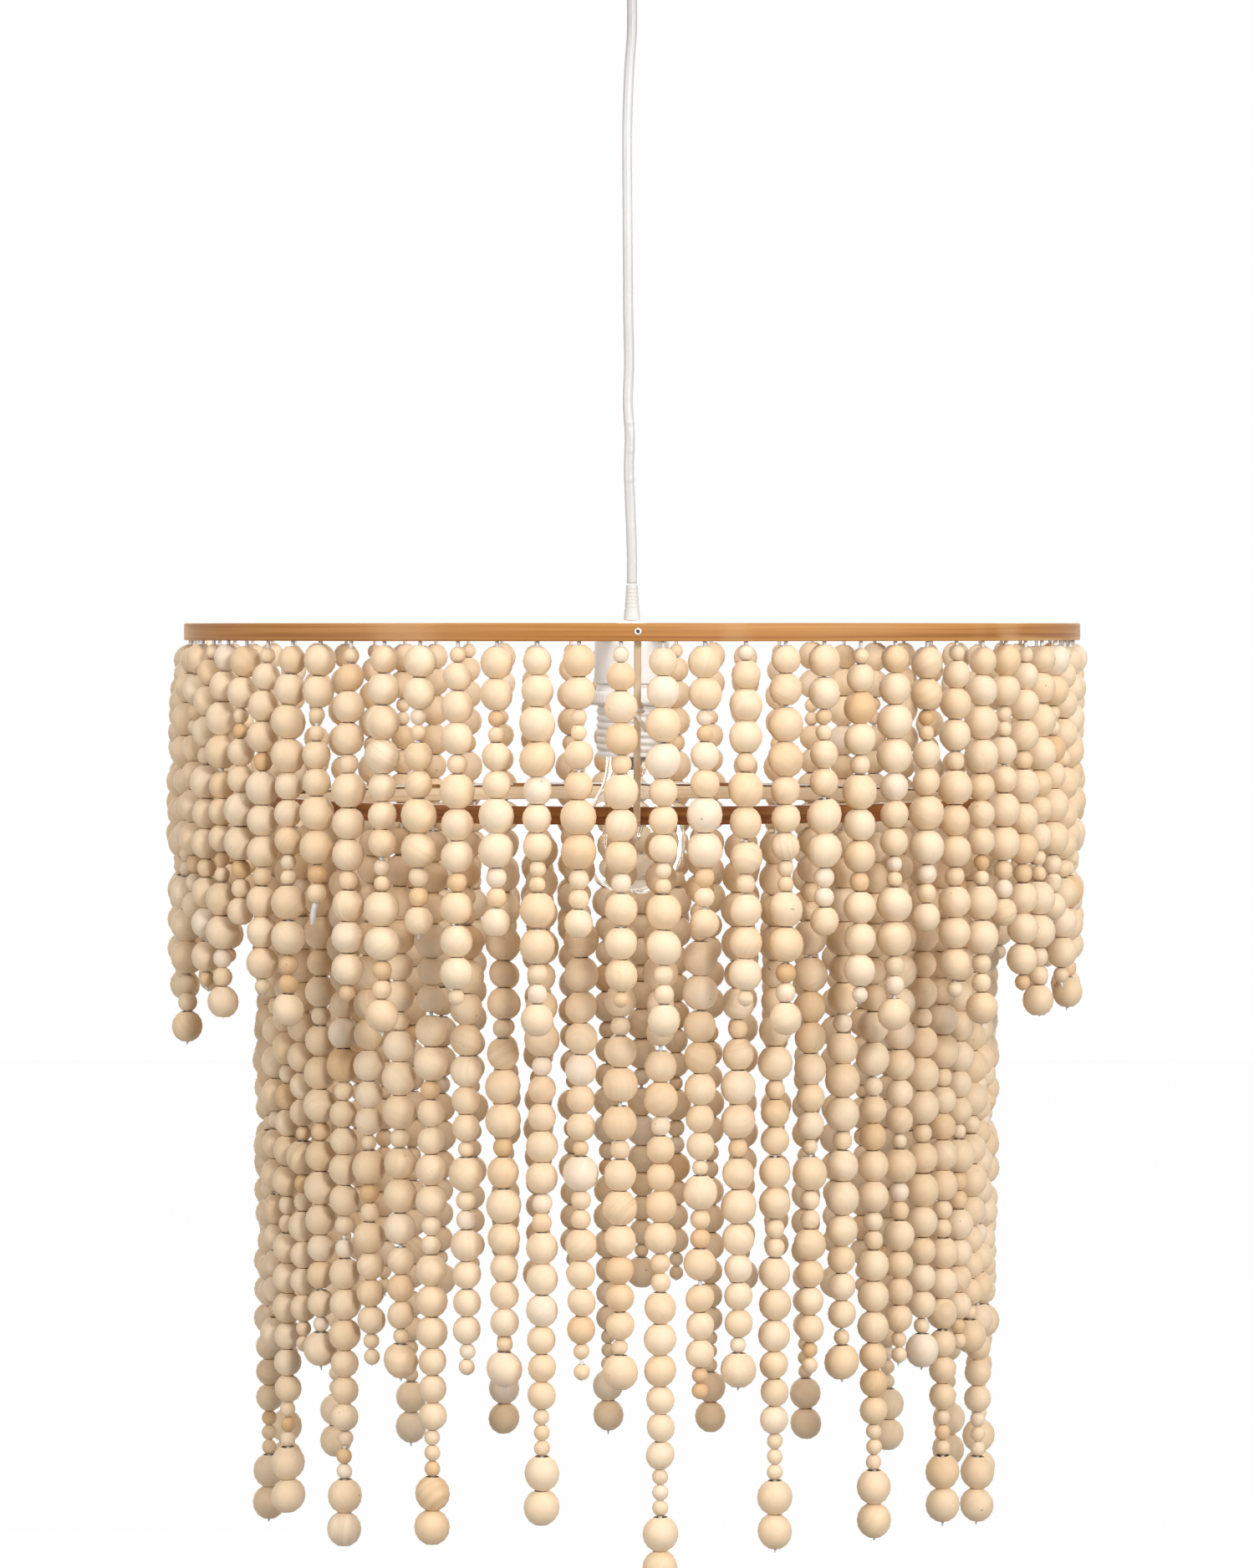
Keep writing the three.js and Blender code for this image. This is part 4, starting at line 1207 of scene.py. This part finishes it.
stem_top = glass_top - 1.2 * MM
STEM_LENGTH = 34 * MM
stem_end = stem_top - STEM_LENGTH
stem_profile = offsets(0, stem_top, (9.5, 0), (8.2, -3), (4.2, -9), (2.6, -15))
stem_profile += offsets(0, stem_end, (2.2, 8), (3.2, 2), (2.8, 0), (0.1, -0.6))
add_turned("bulb_stem", rounded(stem_profile, 3 * MM)[::-1], clear_glass, "bulb")
print("bulb height in mm:", round((glass_top - glass_bottom) / MM, 1))


# %% Filament and wires
def wire(line, radius, sides):
    """A round section on a line in space. Two directions across the line are carried along it:
    u = tangent x reference and v = tangent x u, so that point = line + r (u cos a + v sin a)."""
    tangent = np.gradient(line, axis=0)
    tangent /= np.linalg.norm(tangent, axis=1, keepdims=True)
    reference = np.where(np.abs(tangent[:, 2:]) < 0.9, [[0.0, 0.0, 1.0]], [[0.0, 1.0, 0.0]])
    u = np.cross(tangent, reference)
    u /= np.linalg.norm(u, axis=1, keepdims=True)
    v = np.cross(tangent, u)
    a = circle_angles(sides)[:, None]
    return line[:, None] + radius * (u[:, None] * np.cos(a) + v[:, None] * np.sin(a))


FILAMENT_TURNS, FILAMENT_RISE = 4, 14 * MM
FILAMENT_RADIUS, FILAMENT_FLARE = 6.5 * MM, 1.5 * MM
FILAMENT_WIRE, LEAD_WIRE, LEAD_APART = 0.16 * MM, 0.3 * MM, 0.9 * MM
lead_top, filament_low = stem_end + 3 * MM, stem_end - 16 * MM
t = np.linspace(0, 1, 97)
zigzag = np.abs((t * FILAMENT_TURNS * 2) % 2 - 1)
around = t * FULL_TURN * 0.86 + 0.3
filament_height = filament_low + FILAMENT_RISE * zigzag
filament_line = about_axis(FILAMENT_RADIUS + FILAMENT_FLARE * zigzag, around, filament_height)
wires = [closed_grid(wire(filament_line, FILAMENT_WIRE, 5))]
for end in (0, -1):
    feet = about_axis(LEAD_APART, around[end], np.array([lead_top + 6 * MM, lead_top]))
    lead = polyline([*feet, filament_line[end]], 1 * MM, 3 * MM)
    wires.append(closed_grid(wire(lead, LEAD_WIRE, 6)))
new_piece("bulb_filament", joined(wires), filament_metal, "bulb")

# %% Screw cap
SCREW_PITCH, SCREW_DEPTH = 3.6 * MM, 1.1 * MM
INSULATOR_HEIGHT = 3 * MM
screw_top, screw_bottom, screw_radius = extent("bulb_screw_cap")
thread_top = screw_top - 4 * MM
insulator_top = thread_top + INSULATOR_HEIGHT
screw = threaded(screw_radius, SCREW_DEPTH, SCREW_PITCH, screw_bottom, thread_top, rows=110)
shoulder = offsets(screw_radius, thread_top, (-2.2, 0.9)) + offsets(0, thread_top, (7.2, 1.2))
screw = closed_grid(np.concatenate([screw, turned(shoulder, HOLDER_SIDES)]))
new_piece("bulb_cap", screw, nickel, "bulb", "bulb_screw_cap", sharp=50)
insulator_profile = offsets(0, thread_top, (7.6, 1), (7, 1.8))
insulator_profile += offsets(0, insulator_top, (4.8, 0), (0.1, 0))
add_turned("bulb_insulator", insulator_profile, ceramic, "bulb")
tip_profile = offsets(0, insulator_top, (4.4, -0.2))
tip_profile += offsets(0, screw_top, (4.6, -0.6), (3, -0.1), (0.1, 0))
add_turned("bulb_contact", rounded(tip_profile, 0.5 * MM), brass, "bulb")

# %% [markdown]
# ## The ceiling fitting
# It is above the photograph's edge, so it has the usual form: a steel strap on the ceiling with
# a hollow threaded stem, a white cup that hides it, and a tapered grip that holds both the cup
# and the cord. Inside the open cup a terminal block joins the cord's wires to the mains.

# %% Ceiling cup and bracket
CUP_WALL = 1.4 * MM
cup_bottom, cup_radius = extent("ceiling_cup")[1:]
stem_hole = NIPPLE_RADIUS + 0.4 * MM
cup_outside = [(stem_hole, cup_bottom), *offsets(cup_radius, cup_bottom, (-0.5, 0.2))]
cup_outside += offsets(cup_radius, 0, (0, -0.2), (-0.2, 0))
cup_outside = rounded(cup_outside, 9 * MM, 8)
cup_inside = cup_outside[::-1].copy()
cup_inside[:, 0] -= np.where(cup_inside[:, 0] > stem_hole + MM, CUP_WALL, 0)
cup_inside[:, 1] += np.where(cup_inside[:, 1] < -10 * MM, CUP_WALL, 0)
cup_profile = np.concatenate([cup_outside, cup_inside])
add_shell("ceiling_cover", cup_profile, painted_white, "ceiling_fitting", "ceiling_cup")

bracket_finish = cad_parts["ceiling_bracket"].data.materials
bracket_finish.clear()
bracket_finish.append(nickel)
print("ceiling cup radius in mm:", round(cup_radius / MM, 1))

# %% Cord grip
GRIP_SIDES = 96
GRIP_TIP, GRIP_SOCKET = 4.2, 7  # millimetres
GRIP_KNURLS, GRIP_KNURL_SHARE = 24, 0.03
grip_top, grip_bottom, grip_radius = extent("cord_grip")
grip_profile = (
    offsets(0, grip_bottom, (0.1, 0), (GRIP_TIP, 0))
    + offsets(grip_radius, grip_top, (-0.8, -6.5), (0, -5), (0, 0))
    + offsets(stem_hole, grip_top, (0, 0), (0, -GRIP_SOCKET))
    + offsets(0, grip_top, (0.1, -GRIP_SOCKET))
)
grip_profile = rounded(grip_profile, 0.8 * MM)
grip_grid = turned(grip_profile, GRIP_SIDES)
on_edge = grip_profile[:, 0] > grip_radius - 0.9 * MM
on_edge = on_edge & (grip_profile[:, 1] < grip_top - 0.4 * MM)
knurl = GRIP_KNURL_SHARE * (0.5 + 0.5 * np.cos(GRIP_KNURLS * circle_angles(GRIP_SIDES)))
grip_grid[..., :2] *= (1 - on_edge[:, None] * knurl)[..., None]
grip_grid = closed_grid(grip_grid)
new_piece("grip_nut", grip_grid, white_plastic, "ceiling_fitting", "cord_grip", sharp=40)

# %% Terminal block in the cup
BLOCK_SIZE = np.array([20, 10, 9]) * MM
BLOCK_MIDDLE = np.array([20, 12, -14]) * MM
BLOCK_ROWS, BLOCK_COLUMNS, BLOCK_ROUNDNESS, POLE_GAP = 10, 32, 0.25, 0.02


def soft_box(middle, size):
    """A box with rounded edges: a superellipsoid, x = a c(v) c(u), y = b c(v) s(u), z = c s(v),
    whose sines and cosines keep their sign and are raised to a small power."""
    v = np.linspace(POLE_GAP - math.pi / 2, math.pi / 2 - POLE_GAP, BLOCK_ROWS)[:, None]
    cosine_v, sine_v = superellipse(v, BLOCK_ROUNDNESS)
    cosine_u, sine_u = superellipse(circle_angles(BLOCK_COLUMNS), BLOCK_ROUNDNESS)
    return middle + stacked(cosine_v * cosine_u, cosine_v * sine_u, sine_v) * size / 2


block = closed_grid(soft_box(BLOCK_MIDDLE, BLOCK_SIZE))
new_piece("terminal_block", block, white_plastic, "ceiling_fitting", sharp=40)

# %% [markdown]
# ## Small fixings
# Each stick is held at the top by an eyelet through the band and at the bottom by a screw. The
# maker has also tied the front stick with a bit of thread.

# %% Eyelets and screws
def facing(profile, middle, out, sides=24):
    """A turned form whose axis points along a level direction: (r cos a) across and
    (r sin a) up, with the height along out."""
    a = circle_angles(sides)[:, None]
    radius, height = profile[:, :1, None], profile[:, 1:, None]
    ring = np.cos(a)[None] * np.cross(UP, out) + np.sin(a)[None] * UP
    return middle + radius * ring + height * out


EYELET = [(1.0, -1.2), (1.9, 0.0), (1.9, 0.25), (1.6, 0.5), (1.1, 0.45), (0.8, 0.1), (0.7, -1.0)]
SCREW_HEAD = [(1.0, -1), (1.0, 0), (1.6, 0), (1.6, 0.3), (1.2, 0.7), (0.1, 0.85)]
# A dark plug in each eyelet: painted shade in its hollow, not a part of the lamp.
HOLE_SHADE_PLUG = [(0.9, -1), (0.9, 0.18), (0.1, 0.22)]
EYELET_DROP, SCREW_DROP = 4.4 * MM, 7.6 * MM  # below the top edges of the two hoops
fixings = 0
for number, (out, _) in enumerate(strut_directions, 1):
    eyelet_at = out * (upper_radius - 0.2 * MM) + UP * (upper_top - EYELET_DROP)
    screw_at = out * (lower_radius + 0.2 * MM + STRUT_THICKNESS) + UP * (lower_top - SCREW_DROP)
    for name, profile, place, grid, material in (
        ("eyelet", EYELET, eyelet_at, looped_grid, nickel),
        ("eyelet_hole_shade", HOLE_SHADE_PLUG, eyelet_at, closed_grid, painted_hole_shade),
        ("stick_screw", SCREW_HEAD, screw_at, closed_grid, brass),
    ):
        surface = grid(facing(np.array(profile) * MM, place, out))
        new_piece(f"{name}_{number}", surface, material, "shade_frame")
        fixings += 1
print("fixings:", fixings)

# %% The tie on the front stick
TIE_HEIGHT = -458 * MM
TIE_RADIUS, TIE_SIDES = 1 * MM, 8
TIE_TURNS, TIE_START, TIE_DROP = 1.6, 0.05, 4 * MM
TIE_STEP = 0.5 * MM
out, side = strut_directions[0]
stick = np.interp(TIE_HEIGHT, [slant_bottom, slant_top], [lower_face, upper_face])
t = np.linspace(0, 1, 60)[:, None]
turn = FULL_TURN * (TIE_TURNS * t + TIE_START)
reach_side, reach_out = STRUT_WIDTH / 2 + TIE_RADIUS, STRUT_THICKNESS / 2 + TIE_RADIUS
wrap = UP * TIE_HEIGHT + out * stick
wrap = wrap + np.cos(turn) * reach_side * side - np.sin(turn) * reach_out * out
wrap[:, 2] += (0.5 - t[:, 0]) * TIE_DROP
tail = wrap[-1] + np.outer([2, 4, 6.5], side) * MM - np.outer([1.5, 4.5, 9], UP) * MM
stub = wrap[0] - np.outer([4, 2], side) * MM + np.outer([5, 2.5], UP) * MM
tie_line = polyline(np.concatenate([stub, wrap, tail]), TIE_STEP, 1 * MM)
tie_grid = closed_grid(wire(tie_line, TIE_RADIUS, TIE_SIDES))
tie = new_piece("stick_tie", tie_grid, white_thread, "shade_frame")
distance = (np.arange(len(tie_line)) * TIE_STEP)[:, None]
add_attribute(tie, "along", stacked(distance, np.arange(TIE_SIDES) * TIE_RADIUS, 0.0))
print("points along the tie:", len(tie_line))

# %% [markdown]
# ## Light and room
# The photograph shows a white room with a nearly frontal light: a small key lamp a little to the
# right and above draws the shadows of the upper strands on the lower ones. Broad lamps on the
# right and left fill them, a near lamp above makes the light fall off downwards, and a warm one
# behind lights the far strands. Background and floor are white to the camera, to mirrors and
# through glass, and dim for all other rays, so that their light on the lamp stays weak. A share
# of the floor is lit by the lamps as well and takes the chandelier's shadow.


# %% Lamps
TARGET = 0, 0, -0.62
LAMPS = {  # place, size, power in watts, colour
    "key": ((1.0, -3.5, 0.45), 0.5, 54, (1, 0.98, 0.985)),
    "right": ((2.8, -2.0, 0.4), 1.4, 60, (1, 0.975, 0.965)),
    "left": ((-2.6, -1.8, 0.1), 1.8, 51, (1, 0.965, 0.95)),
    "top": ((0.15, -1.05, 1.15), 1.1, 19, (1, 0.955, 0.935)),
    "back": ((0, 2.4, 0.1), 3.0, 52, (1, 0.91, 0.80)),
}


def area_light(name, place, size, power, colour):
    """A square lamp that faces the target."""
    data = bpy.data.lights.new(name, "AREA")
    data.size, data.energy, data.color = size, power, colour
    light = bpy.data.objects.new(name, data)
    way = np.array(TARGET, dtype=float) - np.array(place, dtype=float)
    flat = math.hypot(way[0], way[1])
    light.rotation_euler = math.atan2(flat, -way[2]), 0, math.atan2(way[1], way[0]) - math.pi / 2
    light.location = place
    bpy.context.scene.collection.objects.link(light)


for name, values in LAMPS.items():
    area_light(name, *values)
print("lamps:", len(LAMPS))


# %% White to the camera
def seen_or_lit(tree, lit, seen, share, kind):
    """Ends a tree with a mix of two shaders. A share of 'seen' takes the place of 'lit' for rays
    that come from the camera, a mirror or through glass."""
    ray = add_node(tree, "LightPath").outputs
    direct = math_node(tree, "MAXIMUM", ray["Is Camera Ray"], ray["Is Glossy Ray"])
    direct = math_node(tree, "MAXIMUM", direct, ray["Is Transmission Ray"])
    choice = add_node(tree, "MixShader", Fac=math_node(tree, "MULTIPLY", direct, share))
    feed(tree, choice.inputs[1:], (lit.outputs[0], seen.outputs[0]))
    add_node(tree, "Output" + kind, Surface=choice.outputs[0])


world = bpy.data.worlds.new("white room")
world.use_nodes = True
tree = world.node_tree
tree.nodes.clear()
soft = add_node(tree, "Background", Color=(1, 0.985, 0.98, 1), Strength=0.02)
white = add_node(tree, "Background", Color=(1, 1, 1, 1), Strength=1.0)
seen_or_lit(tree, soft, white, 1.0, "World")
bpy.context.scene.world = world

# %% Floor
FLOOR_HEIGHT, FLOOR_REACH, FLOOR_ROWS = -1.45, 9, 9
FLOOR_WHITE_SHARE = 0.82
floor_material = bpy.data.materials.new("white_floor")
floor_material.use_nodes = True
tree = floor_material.node_tree
tree.nodes.clear()
lit = add_node(tree, "BsdfDiffuse", Color=(0.35, 0.35, 0.35, 1))
white = add_node(tree, "Emission", Color=(1, 1, 1, 1), Strength=1.2)
seen_or_lit(tree, lit, white, FLOOR_WHITE_SHARE, "Material")

across = np.linspace(-FLOOR_REACH, FLOOR_REACH, FLOOR_ROWS)
floor_points = stacked(across, across[:, None], FLOOR_HEIGHT).reshape(-1, 3).tolist()
floor_mesh = bpy.data.meshes.new("floor")
floor_mesh.from_pydata(floor_points, [], grid_faces(FLOOR_ROWS, FLOOR_ROWS, False).tolist())
floor_mesh.materials.append(floor_material)
floor = bpy.data.objects.new("floor", floor_mesh)
bpy.context.scene.collection.objects.link(floor)

bpy.context.scene.view_settings.view_transform = "Standard"
